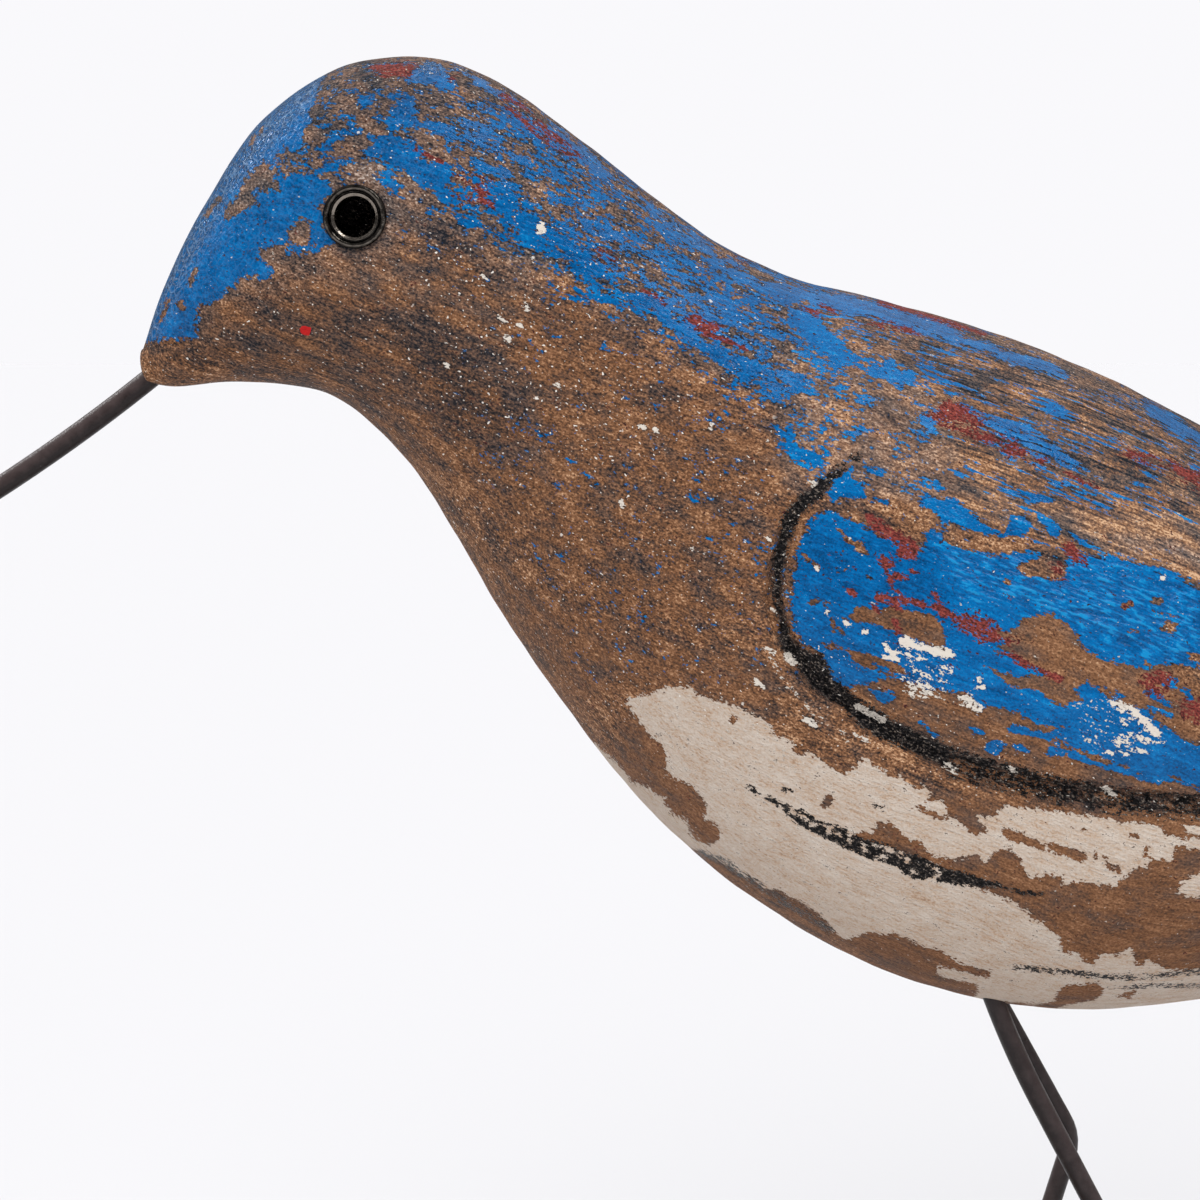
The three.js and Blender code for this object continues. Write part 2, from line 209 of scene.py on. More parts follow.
# top x, top z, bottom x, bottom z, half width, widest (0 top, 1 bottom), fullness
SECTIONS = np.array([
    [-47.6, 37.6, -47.3, 35.7, 1.1, 0.52, 2.2],
    [-46.4, 41.0, -45.8, 35.5, 2.6, 0.56, 2.3],
    [-44.3, 45.2, -43.4, 35.7, 4.5, 0.56, 2.35],
    [-41.1, 49.9, -40.6, 35.6, 6.1, 0.54, 2.4],
    [-37.1, 52.7, -38.1, 35.2, 7.1, 0.52, 2.4],
    [-32.9, 53.5, -36.2, 34.2, 7.6, 0.5, 2.35],
    [-28.8, 52.5, -34.2, 32.4, 7.8, 0.5, 2.3],
    [-24.7, 49.9, -32.0, 29.6, 8.0, 0.5, 2.25],
    [-20.5, 46.7, -29.9, 26.0, 8.6, 0.5, 2.2],
    [-16.3, 43.7, -27.2, 21.5, 9.9, 0.52, 2.2],
    [-11.6, 41.5, -24.1, 17.0, 11.6, 0.53, 2.2],
    [-6.3, 40.2, -20.2, 12.0, 13.1, 0.54, 2.2],
    [0.0, 38.4, -14.7, 7.0, 14.1, 0.54, 2.2],
    [6.3, 36.0, -7.6, 2.6, 14.5, 0.53, 2.2],
    [12.6, 32.8, 0.4, 0.0, 14.3, 0.52, 2.2],
    [19.4, 29.3, 8.4, -0.4, 13.6, 0.5, 2.2],
    [26.1, 25.8, 16.8, 0.7, 12.2, 0.48, 2.2],
    [32.8, 22.3, 25.3, 2.3, 10.4, 0.46, 2.2],
    [38.7, 19.2, 32.8, 5.2, 8.3, 0.45, 2.25],
    [44.2, 16.3, 40.0, 7.7, 6.5, 0.45, 2.35],
    [48.8, 13.9, 46.3, 9.4, 5.1, 0.47, 2.5],
    [52.2, 12.1, 51.2, 10.2, 4.5, 0.5, 2.8],
])
LAST_SECTION = len(SECTIONS) - 1
FACE_ROUND = 0.3
TAIL_ROUND = 0.5


def spline(corners, place):
    """A smooth curve through corners, at places counted in corners from the first."""
    place = np.clip(np.asarray(place, float), 0, len(corners) - 1)
    i = np.minimum(place.astype(int), len(corners) - 2)
    t = (place - i)[..., None]
    rows = np.concatenate([[2 * corners[0] - corners[1]], corners, [2 * corners[-1] - corners[-2]]])
    a, b, c, d = rows[i], rows[i + 1], rows[i + 2], rows[i + 3]
    return (2 * b + (c - a) * t + (2 * a - 5 * b + 4 * c - d) * t**2 + (3 * b - a - 3 * c + d) * t**3) / 2


def skin_at(place, angle):
    """Points of the plain skin. Angle 0 is the top, and the left side is below 0."""
    row = spline(SECTIONS, place)
    top, bottom = row[..., 0:2] * SHARE, row[..., 2:4] * SHARE
    half, widest, power = row[..., 4] * SHARE, row[..., 5], 2 / row[..., 6]
    upright = np.abs(np.cos(angle)) ** power
    down = np.where(np.cos(angle) >= 0, widest * (1 - upright), widest + (1 - widest) * upright)
    at = top + (bottom - top) * down[..., None]
    across = np.sign(np.sin(angle)) * half * np.abs(np.sin(angle)) ** power
    return np.stack([at[..., 0], across, at[..., 1] + BELLY_HEIGHT], -1)


back_line = skin_at(np.arange(len(SECTIONS)), np.zeros(len(SECTIONS)))
print("the back is", round(float(np.ptp(back_line[:, 0]))), "mm long")

# %% [markdown]
# ## A fine net over the form
# Paint edges need corners every third of a millimetre, but only on the side that the photo
# shows. The net is laid over the form in rows from face to tail and columns round it, close
# together on the left front and wider elsewhere. Spacing them by measured length, not by
# angle, keeps the squares even.

# %% Lay out rows and columns
CELL = 4  # the net is later thinned in blocks of this many squares
ROW_STEP = 0.36
REAR_SHARE = 0.45  # how dense the rows are behind what the photo shows
COLUMN_COUNT = 448
RIGHT_SHARE = 0.38
FACE_ROWS, FACE_CLOSED = 6, 0.94  # rows of each end cap, and how far they close it
TAIL_ROWS, TAIL_CLOSED = 10, 0.96
PHOTO_END = 30  # millimetres along X where the photo's edge cuts the bird
PLACE_SAMPLES = 3001
TURN_SAMPLES = 1441
WATCHED_ANGLES = (0, -50, -90, -130, -180)  # degrees round the left side, where rows are measured


def spaced(values, weights, count):
    """As many values as asked for, closer together where the weights are high."""
    reach = np.concatenate([[0], np.cumsum(weights)])
    return np.interp(np.linspace(0, reach[-1], count), reach, values)


fine_places = np.linspace(0, LAST_SECTION, PLACE_SAMPLES)
lines = np.stack([skin_at(fine_places, np.full(PLACE_SAMPLES, math.radians(a))) for a in WATCHED_ANGLES])
step_lengths = np.linalg.norm(np.diff(lines, axis=1), axis=2).max(0)
middle_x = lines[2, 1:, 0]
row_weights = step_lengths * (REAR_SHARE + (1 - REAR_SHARE) * ease(-middle_x, -PHOTO_END - 8, -PHOTO_END))
row_count = int(row_weights.sum() / ROW_STEP)
row_count += (1 - (row_count + FACE_ROWS + TAIL_ROWS)) % CELL
row_places = spaced(fine_places, row_weights, row_count)

fine_angles = np.linspace(-math.pi, math.pi, TURN_SAMPLES)
angle_share = 1 - (1 - RIGHT_SHARE) * ease(fine_angles[1:], 0.25, 0.8)


def columns_at(place):
    """The angles of one row's columns."""
    ring = skin_at(np.full(len(fine_angles), place), fine_angles)
    lengths = np.linalg.norm(np.diff(ring, axis=0), axis=1)
    return spaced(fine_angles, lengths * angle_share, COLUMN_COUNT + 1)[:-1]


places = np.repeat(row_places[:, None], COLUMN_COUNT, 1)
angles = np.stack([columns_at(place) for place in row_places])
skin = skin_at(places, angles)


def rounded_end(ring, row, bulge, turns):
    """Rings that close an end of the carving, from the section outwards."""
    middle = (ring.max(0) + ring.min(0)) / 2
    middle[1] = 0
    top, bottom = row[0:2], row[2:4]
    facing = np.array([top[1] - bottom[1], 0, bottom[0] - top[0]])
    facing *= bulge * SHARE / np.linalg.norm(facing)
    return np.stack([(ring - middle) * math.cos(t) + middle + facing * math.sin(t) for t in turns])


face_turns = np.linspace(math.pi / 2 * FACE_CLOSED, 0, FACE_ROWS, endpoint=False)
tail_turns = np.linspace(0, math.pi / 2 * TAIL_CLOSED, TAIL_ROWS + 1)[1:]
face_cap = rounded_end(skin[0], SECTIONS[0], -FACE_ROUND, face_turns)
tail_cap = rounded_end(skin[-1], SECTIONS[-1], TAIL_ROUND, tail_turns)
net = np.concatenate([face_cap, skin, tail_cap])
print("net of", net.shape[0], "rows and", net.shape[1], "columns")


# %% How the net faces
def facing_of(points):
    """The way each point of the net faces, from its neighbours."""
    along = np.gradient(points, axis=0)
    wrapped = np.concatenate([points[:, -1:], points, points[:, :1]], 1)
    around = wrapped[:, 2:] - wrapped[:, :-2]
    normal = np.cross(along, around)
    return normal / np.maximum(np.linalg.norm(normal, axis=2, keepdims=True), 1e-9)


outwards = facing_of(net)
print("the widest point faces", outwards[row_count // 2, COLUMN_COUNT // 4].round(2))

# %% [markdown]
# ## The carved wing
# The front of the wing stands a little proud: the carver cut a line round it, then pared the
# breast down to that line. Each point of the net near the line is pushed in by how far it is
# from the line, on the breast side or on the wing side. That keeps the skin in one piece.

# %% Cut the line round the wing
WING_LINE = np.array([
    [-10.7, 31.9], [-13.5, 29.5], [-15.0, 25.9], [-14.4, 22.1], [-11.4, 19.0], [-5.5, 15.8],
    [2.1, 14.1], [12.6, 13.0], [24.4, 12.5], [33.5, 13.2], [41.0, 15.2],
])
WING_LINE_FADE = 0.12
LINE_SAMPLES, LINE_STEP = 200, 3  # the line is measured finely, then every third point is used
LINE_REACH = 9  # millimetres from the line that can be cut
# millimetres across the line, from the wing's edge to the pared breast, and the depths there
CUT_ACROSS = [-1.45, -1.05, -0.6, 0, 0.6, 1.2, 4.28, 7.2]
CUT_DEPTHS = [0, 0.35, 1.35, 1.5, 1.4, 0.85, 0.22, 0]


def reach_along(points):
    """How far along a row of points each one is."""
    return np.concatenate([[0], np.cumsum(np.linalg.norm(np.diff(points, axis=0), axis=1))])


def side_point(x, z, side):
    """The net's point on one side that is nearest to x and z, seen from the side."""
    gap = (net[..., 0] - x) ** 2 + (net[..., 2] - z) ** 2 + np.where(net[..., 1] * side > 0, 0, 1e6)
    return np.unravel_index(gap.argmin(), gap.shape)


def off_run(points, start, end):
    """How each point lies off a straight run, and its share of the way along."""
    run = end - start
    share = np.clip(((points - start) @ run) / max(run @ run, 1e-9), 0, 1)
    return points - start - share[:, None] * run, share


def from_line(points, line, along):
    """Distance to a line on the skin, above 0 on its breast side, and the place along it."""
    nearest = np.full(len(points), np.inf)
    signed = np.zeros(len(points))
    place = np.zeros(len(points))
    for i, (start, end) in enumerate(zip(line, line[1:])):
        off, share = off_run(points, start, end)
        gap = np.linalg.norm(off, axis=1)
        turned = off[:, 2] * (end - start)[0] - off[:, 0] * (end - start)[2]
        closer = gap < nearest
        nearest = np.where(closer, gap, nearest)
        signed = np.where(closer, np.sign(turned) * gap, signed)
        place = np.where(closer, along[i] + share * (along[i + 1] - along[i]), place)
    return signed, place


def gouge_depth(gap, place):
    """How deep the wood is cut; the line fades out towards both its ends."""
    fade = ease(np.minimum(place, 1 - place), 0, WING_LINE_FADE)
    return np.interp(gap, CUT_ACROSS, CUT_DEPTHS) * fade


line_corners = WING_LINE * SHARE + np.array([0, BELLY_HEIGHT])
flat_line = spline(line_corners, np.linspace(0, len(line_corners) - 1, LINE_SAMPLES))
line_reach = reach_along(flat_line)
line_places = (line_reach / line_reach[-1])[::LINE_STEP]
cut = np.zeros(net.shape[:2])
for side in (-1, 1):
    line = np.array([net[side_point(x, z, side)] for x, z in flat_line[::LINE_STEP]])
    low, high = line.min(0) - LINE_REACH, line.max(0) + LINE_REACH
    near = (net[..., 1] * side > 0) & ((net > low) & (net < high))[..., [0, 2]].all(-1)
    gap, place = from_line(net[near], line, line_places)
    cut[near] += gouge_depth(gap, place)
print("deepest cut", round(float(cut.max()), 2), "mm")

# %% [markdown]
# ## Drilled eyes and a hand's unevenness
# Each eye is an eyelet pressed into a drilled hole, on a small flat. The rest of the skin isn't
# perfectly even: a rasp and sandpaper leave slow waves of a tenth of a millimetre or two. All
# of it goes inwards, so the bird stays within the frame's size.

# %% Drill the eyes, and leave tool marks
EYE_PLACE = (-36.5, 44.6)
EYELET_SINK = 0.5
EYE_FLAT = 4.15
EYE_HOLE = 2.95
EYE_DEPTH = 8
EYE_REACH = 6.5
FLAT_FADE = 0.7
SKIN_INSET = 0.06
WAVE_DEPTH = 0.06
WAVES_START = (-112, -100)  # the face has no waves before the first, and all of them after


def eye_seat(side):
    """Where an eyelet sits, and the way it faces."""
    at = side_point(EYE_PLACE[0] * SHARE, EYE_PLACE[1] * SHARE + BELLY_HEIGHT, side)
    return net[at] - outwards[at] * EYELET_SINK, outwards[at]


def slow_wave(points, size, turn):
    """The slow ups and downs that a hand tool leaves, about this many millimetres wide."""
    x, y, z = (points[..., k] / size for k in range(3))
    wave = np.sin(2.1 * x + 1.3 * z + turn) * np.sin(1.7 * z - 0.9 * y + 2 * turn)
    return wave + 0.6 * np.sin(3.7 * x - 2.9 * z + 1.4 * y + 3 * turn)


waves = slow_wave(net, 9, 0.4) + 0.6 * slow_wave(net, 4, 1.9) + 1.6
cut += SKIN_INSET + WAVE_DEPTH * np.maximum(waves, 0) * ease(net[..., 0], *WAVES_START)
carved = net - outwards * cut[..., None]
eye_seats = {side: eye_seat(side) for side in (-1, 1)}
for side, (seat, out) in eye_seats.items():
    lift = (carved - seat) @ out
    off_axis = np.linalg.norm(carved - seat - lift[..., None] * out, axis=2)
    close = (off_axis < EYE_REACH) & (carved[..., 1] * side > 0)
    proud = np.maximum(lift, 0)
    flat = lift - proud + proud * ease(off_axis, EYE_FLAT, EYE_FLAT + FLAT_FADE)
    sunk = np.where(off_axis < EYE_HOLE, -EYE_DEPTH, flat)
    carved = np.where(close[..., None], carved + (sunk - lift)[..., None] * out, carved)
print("left eye seat", eye_seats[-1][0].round(1))

# %% [markdown]
# ## Which way the grain runs
# The board's grain runs down towards the tail at about 22 degrees, and seen on the rounded
# belly the lines bend along with the form. Two measures are stored for each corner: how far
# along the grain it is and how far across. Noise stretched along the first makes the streaks.

# %% Measure along and across the grain
GRAIN_SLOPE = math.tan(math.radians(22))
BEND_LEVEL = 6
BEND_ALONG = (-12, 22)  # millimetres along X between which the lines begin to follow the belly
BEND_UP = (0.0, 0.5)  # shares of the height between which they stop following it
NOISE_PERIOD = 48
NOISE_SPREAD = 0.64
flat_net = carved.reshape(-1, 3)
net_x, net_y, net_z = flat_net.T
belly = skin_at(fine_places, np.full(PLACE_SAMPLES, math.pi))
back = skin_at(fine_places, np.zeros(PLACE_SAMPLES))
below = np.interp(net_x, np.maximum.accumulate(belly[:, 0]), belly[:, 2])
above = np.interp(net_x, back[:, 0], back[:, 2])
height_share = (net_z - below) / np.maximum(above - below, 1)
along_grain = net_x - GRAIN_SLOPE * (net_z - BELLY_HEIGHT)
straight = net_z - BELLY_HEIGHT + GRAIN_SLOPE * net_x
rear_bend = ease(net_x, *BEND_ALONG) * (1 - ease(height_share, *BEND_UP))
bent = net_z - below + BEND_LEVEL
across_grain = straight + (bent - straight) * rear_bend
grain = np.stack([along_grain, across_grain, net_y], 1)


def uneven(size, stretch, seed):
    """Smooth noise at the net's corners, about 1 high, in features of this size along the grain."""
    heights = np.random.default_rng(seed).normal(size=(NOISE_PERIOD,) * 3)
    where = grain / (size * stretch, size, size)
    base = np.floor(where).astype(int)
    share = ease(where - base, 0, 1)
    total = np.zeros(len(grain))
    for corner_step in np.ndindex(2, 2, 2):
        weight = np.where(corner_step, share, 1 - share).prod(1)
        total += weight * heights[tuple(((base + corner_step) % NOISE_PERIOD).T)]
    return total / NOISE_SPREAD


print("grain measured at", len(grain), "corners")

# %% [markdown]
# ## Where the coats lie
# The bird has bare wood, a red undercoat, blue on top, white below and black in the wing's
# line. Each coat is held as one number for each corner of the net: above 0 it is still there,
# below 0 it has worn off, and the shader adds a fine ragged noise before it decides. The main
# shapes are outlines that were read off the photo, in its pixels. The side that the
# photo doesn't show gets the same shapes, pulled out of place so that it is no mirror image.
# Near the wing's carved line the pull fades out, since the black lies in the carving.

# %% A coat that can be laid on and scraped off
mirrored = carved.copy()
FOLD = 3  # millimetres right of the middle, up to where the camera sees over the edge
mirrored[..., 1] = FOLD - np.abs(mirrored[..., 1] - FOLD)
pixel = in_photo(mirrored.reshape(-1, 3))
far_side = ease(carved[..., 1].ravel(), FOLD, 14)
SOFT = 6  # pixels over which a coat goes from its edge to full
PULL_X, PULL_Y = 44, 24  # pixels that the far side's shapes are pulled at most
PULL_START, PULL_FULL = 8, 130  # pixels from the wing's line where the pull starts and is full


def depth_inside(outline, at):
    """How many pixels inside an outline each place is; below 0 is outside."""
    inside = np.zeros(len(at), bool)
    nearest = np.full(len(at), 1e9)
    for (ax, ay), (bx, by) in zip(outline, outline[1:] + outline[:1]):
        off, _ = off_run(at, np.array([ax, ay], float), np.array([bx, by], float))
        nearest = np.minimum(nearest, np.hypot(*off.T))
        crosses = ((ay > at[:, 1]) != (by > at[:, 1])) & (
            at[:, 0] < (bx - ax) * (at[:, 1] - ay) / ((by - ay) or 1e-9) + ax)
        inside ^= crosses
    return np.where(inside, nearest, -nearest)


def depth_in_stroke(points, width, at):
    """How many pixels inside a brush stroke each place is; below 0 is outside."""
    nearest = np.full(len(at), 1e9)
    for start, end in zip(points, points[1:]):
        off, _ = off_run(at, np.array(start, float), np.array(end, float))
        nearest = np.minimum(nearest, np.hypot(*off.T))
    return width / 2 - nearest


line_pixels = in_photo(np.array([net[side_point(x, z, -1)] for x, z in line_corners]))
from_wing_line = -depth_in_stroke([tuple(corner) for corner in line_pixels], 0, pixel)
pull_share = far_side * ease(from_wing_line, PULL_START, PULL_FULL)
pull_x = PULL_X * np.sin(pixel[:, 1] / 150 + pixel[:, 0] / 330 + 2.4)
pull_y = PULL_Y * np.sin(pixel[:, 0] / 120 + 0.7)
pixel += pull_share[:, None] * np.stack([pull_x, pull_y], 1)


class Coat:
    """One number for each corner of the net: 1 is sound paint, -1 is none left."""

    def __init__(self, start):
        self.amount = np.full(len(pixel), float(start))

    def _near(self, points, margin):
        low, high = np.min(points, 0) - margin, np.max(points, 0) + margin
        return np.flatnonzero(((pixel > low) & (pixel < high)).all(1))

    def _part(self, points, width, soft):
        """Which corners an outline or a stroke can reach, and how deep in it they are (-1 to 1)."""
        near = self._near(points, (width or 0) / 2 + soft * 1.1)
        at = pixel[near]
        depth = depth_in_stroke(points, width, at) if width else depth_inside(points, at)
        return near, np.clip(depth / soft, -1, 1)

    def lay(self, outline, amount=1.0, soft=SOFT, width=None):
        near, depth = self._part(outline, width, soft)
        self.amount[near] = np.maximum(self.amount[near], np.minimum(depth, amount))

    def scrape(self, outline, amount=-1.0, soft=SOFT, width=None):
        near, depth = self._part(outline, width, soft)
        self.amount[near] = np.minimum(self.amount[near], np.maximum(-depth, amount))

    def stroke(self, points, width, amount=1.0, soft=SOFT / 2):
        self.lay(points, amount, soft, width)

    def scratch(self, points, width, amount=-1.0, soft=SOFT / 2):
        self.scrape(points, amount, soft, width)

    def fray(self, size, stretch, amount, seed):
        """Breaks up soft edges and half-worn zones; sound paint and bare wood stay as they are."""
        self.amount += uneven(size, stretch, seed) * amount * (1 - np.abs(self.amount))

    def tint(self, outline, amount, soft=40):
        """Moves the number towards another over a wide soft edge."""
        near = self._near(outline, soft)
        share = ease(depth_inside(outline, pixel[near]), -soft / 2, soft / 2)
        self.amount[near] += (amount - self.amount[near]) * share


def tinted(start, tints):
    """A number that starts even and is then moved, outline by outline."""
    made = Coat(start)
    for outline, amount, soft in tints:
        made.tint(outline, amount, soft)
    return made


print("the far side's shapes are pulled up to", round(float(np.abs(pull_x).max())), "pixels")

# %% [markdown]
# ## Blue
# The blue was laid over the whole upper side and has worn through. On the forehead and the wing
# it is sound, with chips out of it. On the nape and the back it is left only in streaks between
# the raised lines of the grain, so those zones get a number near 0 and the noise does the rest.

# %% Blue on the head
blue = Coat(-1)
FOREHEAD = [
    (110, 352), (150, 341), (195, 337), (199, 312), (204, 303), (218, 299), (236, 282), (245, 278),
    (258, 276), (270, 277), (272, 268), (260, 258), (262, 251), (275, 249), (284, 256), (305, 257),
    (303, 250), (296, 246), (284, 247), (283, 238), (286, 230), (302, 220), (310, 218), (312, 226),
    (308, 236), (308, 246), (318, 249), (332, 246), (330, 236), (324, 224), (322, 205), (330, 192),
    (326, 182), (316, 172), (285, 172), (276, 180), (280, 187), (276, 191), (262, 190), (255, 193),
    (256, 203), (228, 218), (224, 210), (230, 205), (252, 170), (262, 159), (277, 156), (286, 147),
    (290, 150), (297, 150), (308, 126), (312, 110), (326, 80), (316, 60), (280, 80), (230, 115), (190, 170),
    (140, 250),
]
HEAD_PATCHES = [
    [(265, 164), (272, 159), (282, 158), (282, 162), (270, 167)],
    [(316, 170), (322, 163), (335, 159), (350, 157), (353, 161), (343, 168), (334, 173), (322, 173)],
    [(357, 100), (358, 90), (375, 92), (390, 90), (405, 92), (414, 97), (419, 104), (416, 112), (420, 120),
     (414, 130), (400, 131), (390, 134), (385, 128), (386, 112), (394, 106), (404, 105), (400, 98),
     (378, 97), (377, 103), (366, 108), (361, 108)],
    [(341, 116), (355, 113), (366, 115), (362, 120), (348, 118)],
    [(368, 114), (383, 114), (382, 121), (370, 119)],
    [(318, 126), (330, 123), (329, 131), (322, 129)],
    [(341, 129), (352, 124), (362, 127), (357, 134), (343, 133)],
    [(323, 137), (335, 133), (347, 134), (340, 141), (334, 142), (338, 150), (328, 152), (321, 146)],
    [(364, 158), (366, 148), (378, 144), (370, 138), (396, 134), (405, 139), (404, 146), (394, 150),
     (402, 155), (424, 163), (436, 162), (448, 165), (455, 173), (453, 181), (445, 186), (458, 199),
     (450, 205), (438, 200), (425, 193), (416, 181), (398, 169), (388, 173), (382, 163)],
    [(408, 76), (414, 68), (424, 63), (437, 62), (446, 70), (452, 80), (453, 91), (440, 90), (432, 85),
     (420, 84), (412, 82)],
    [(420, 121), (435, 120), (450, 127), (462, 136), (456, 144), (446, 139), (432, 131)],
    [(471, 80), (482, 80), (495, 86), (508, 92), (520, 99), (527, 105), (518, 107), (505, 100), (490, 94),
     (478, 88)],
    [(505, 111), (515, 112), (525, 121), (535, 129), (547, 138), (540, 143), (525, 137), (512, 128)],
    [(460, 157), (475, 157), (490, 162), (505, 167), (521, 176), (512, 179), (495, 175), (478, 170)],
    [(495, 143), (505, 145), (522, 155), (532, 164), (520, 163), (505, 155)],
    [(512, 212), (525, 210), (535, 216), (545, 222), (545, 232), (532, 236), (520, 230)],
    [(372, 175), (390, 180), (402, 185), (398, 190), (384, 186)],
]
HEAD_FLECKS = [(300, 70), (360, 60), (470, 66), (560, 150), (540, 200), (440, 230), (400, 180), (300, 165)]
blue.lay(HEAD_FLECKS, -0.42, soft=25)
blue.lay(FOREHEAD, soft=8)
for patch in HEAD_PATCHES:
    blue.lay(patch, 0.6, soft=8)
for points, width in (
    ([(196, 268), (193, 277), (190, 287)], 5),
    ([(219, 199), (212, 208), (206, 216)], 5),
    ([(255, 136), (250, 146)], 4),
    ([(263, 129), (261, 133)], 4),
    ([(179, 303), (182, 307)], 6),
    ([(168, 300), (160, 322)], 3),
):
    blue.scratch(points, width)
print("head patches:", len(HEAD_PATCHES) + 1)

# %% Blue on the nape and the back
NAPE_ZONE = [
    (455, 140), (500, 108), (545, 120), (720, 250), (770, 275), (900, 305), (900, 322), (850, 322),
    (850, 342), (880, 360), (905, 372), (880, 388), (830, 372), (790, 398), (765, 396), (715, 370),
    (690, 345), (675, 325), (640, 310), (590, 285), (560, 262), (545, 243), (505, 234), (455, 226),
    (430, 208), (445, 190), (540, 190), (560, 185), (540, 165),
]
BACK_ZONE = [
    (880, 335), (960, 345), (1060, 375), (1150, 420), (1260, 470), (1420, 560), (1540, 620), (1560, 700),
    (1400, 700), (1260, 610), (1200, 580), (1060, 530), (850, 480), (800, 430), (790, 390), (850, 372),
]
NAPE_RIDGE = [
    (560, 150), (600, 185), (680, 238), (720, 262), (760, 280), (800, 289), (800, 303), (770, 300),
    (725, 280), (625, 212),
]
BACK_EDGE = [
    (845, 280), (900, 293), (950, 308), (1040, 340), (1100, 368), (1140, 390), (1142, 402), (1070, 376),
    (1040, 359), (980, 341), (900, 307), (860, 299),
]
RIDGE_BAND = [
    (760, 278), (800, 287), (850, 294), (900, 307), (980, 341), (1040, 359), (1070, 376), (1055, 376),
    (1030, 369), (905, 327), (880, 321), (850, 318), (815, 302), (800, 303), (790, 310), (770, 300),
]
BACK_PATCHES = [
    [(965, 388), (990, 398), (1012, 408), (1000, 408), (975, 398)],
    [(1040, 400), (1062, 408), (1080, 420), (1066, 420), (1045, 410)],
    [(800, 303), (822, 318), (830, 330), (845, 342), (852, 352), (872, 358), (862, 366), (842, 363),
     (800, 338), (785, 325), (788, 308)],
    [(675, 315), (690, 312), (700, 335), (720, 345), (745, 352), (760, 365), (768, 380), (745, 380),
     (720, 368), (700, 352), (682, 340)],
    [(620, 290), (640, 288), (660, 300), (675, 312), (668, 322), (645, 312), (628, 303)],
    [(560, 245), (580, 245), (600, 262), (612, 268), (605, 276), (585, 268), (565, 258)],
    [(775, 424), (790, 430), (800, 445), (818, 452), (830, 462), (822, 471), (808, 468), (795, 463),
     (785, 450), (778, 437)],
    [(866, 362), (880, 360), (890, 358), (900, 366), (914, 372), (916, 384), (900, 388), (885, 380),
     (872, 378)],
    [(915, 364), (935, 370), (955, 378), (965, 385), (945, 384), (925, 374)],
    [(915, 412), (928, 412), (938, 428), (932, 432), (920, 424)],
    [(985, 416), (1010, 420), (1030, 428), (1060, 445), (1080, 460), (1090, 470), (1070, 468),
     (1045, 458), (1020, 446), (1000, 438), (985, 428)],
    [(1035, 470), (1065, 482), (1095, 495), (1080, 496), (1050, 486)],
    [(1000, 488), (1020, 492), (1050, 500), (1035, 502), (1010, 497)],
    [(1143, 400), (1160, 407), (1200, 430), (1260, 460), (1330, 500), (1310, 506), (1240, 470),
     (1190, 442), (1165, 430), (1150, 418)],
    [(920, 478), (935, 480), (950, 488), (945, 493), (928, 487)],
    [(955, 470), (966, 476), (960, 481)],
    [(860, 462), (885, 470), (880, 476), (864, 470)],
]
blue.lay(NAPE_ZONE, 0.1, soft=55)
blue.lay(BACK_ZONE, -0.45, soft=40)
for outline, amount, soft in (
    ([(800, 318), (850, 322), (905, 335), (910, 376), (850, 380), (790, 398), (770, 350)], -0.12, 30),
    ([(840, 345), (900, 335), (960, 380), (930, 420), (1000, 440), (960, 480), (870, 455),
      (800, 400)], -0.42, 40),
    ([(1030, 500), (1180, 520), (1300, 590), (1280, 640), (1100, 552)], -0.7, 24),
):
    blue.tint(outline, amount, soft)
blue.scrape(BACK_EDGE, -0.55)
blue.lay(NAPE_RIDGE, 0.3, soft=14)
blue.lay(RIDGE_BAND, soft=8)
for patch in BACK_PATCHES:
    blue.lay(patch, 0.6, soft=8)
BREAST_FLECKS = [(430, 200), (640, 300), (790, 400), (830, 470), (780, 640), (600, 640), (500, 420)]
blue.lay(BREAST_FLECKS, -0.62, soft=60)
blue.lay([(700, 380), (790, 400), (835, 470), (790, 500), (775, 620), (740, 600), (700, 480)], -0.5, soft=30)
print("back patches:", len(BACK_PATCHES))

# %% Blue on the wing
WING = [
    (812, 516), (830, 513), (850, 520), (885, 537), (918, 556), (923, 545), (922, 536), (932, 527),
    (945, 530), (985, 553), (1010, 556), (1040, 552), (1062, 562), (1072, 553), (1090, 552), (1110, 554),
    (1200, 583), (1260, 612), (1340, 655), (1430, 700), (1520, 732), (1600, 750), (1680, 745), (1660, 762),
    (1560, 782), (1470, 790), (1300, 792), (1200, 788), (1180, 778), (1150, 779), (1070, 756), (1070, 750),
    (1045, 735), (1062, 727), (1035, 721), (1008, 706), (990, 702), (978, 712), (975, 700), (960, 692),
    (945, 693), (925, 690), (905, 682), (890, 672), (850, 652), (838, 655), (884, 678), (868, 684),
    (850, 685), (836, 682), (826, 670), (824, 658), (812, 650), (800, 647), (792, 620), (790, 600),
    (792, 568), (802, 538),
]
WEDGE = [
    (984, 664), (1000, 672), (1020, 678), (1046, 674), (1038, 668), (1024, 664), (1012, 655), (997, 650),
    (1003, 642), (995, 636), (985, 633), (995, 628), (1005, 630), (1018, 626), (1030, 616), (1045, 613),
    (1060, 618), (1074, 627), (1084, 650), (1098, 657), (1140, 668), (1165, 665), (1260, 672), (1330, 690),
    (1340, 735), (1270, 738), (1200, 746), (1160, 726), (1146, 712), (1112, 699), (1088, 682), (1076, 690),
    (1082, 700), (1062, 707), (1048, 700), (1038, 692), (1020, 688), (1008, 683),
]
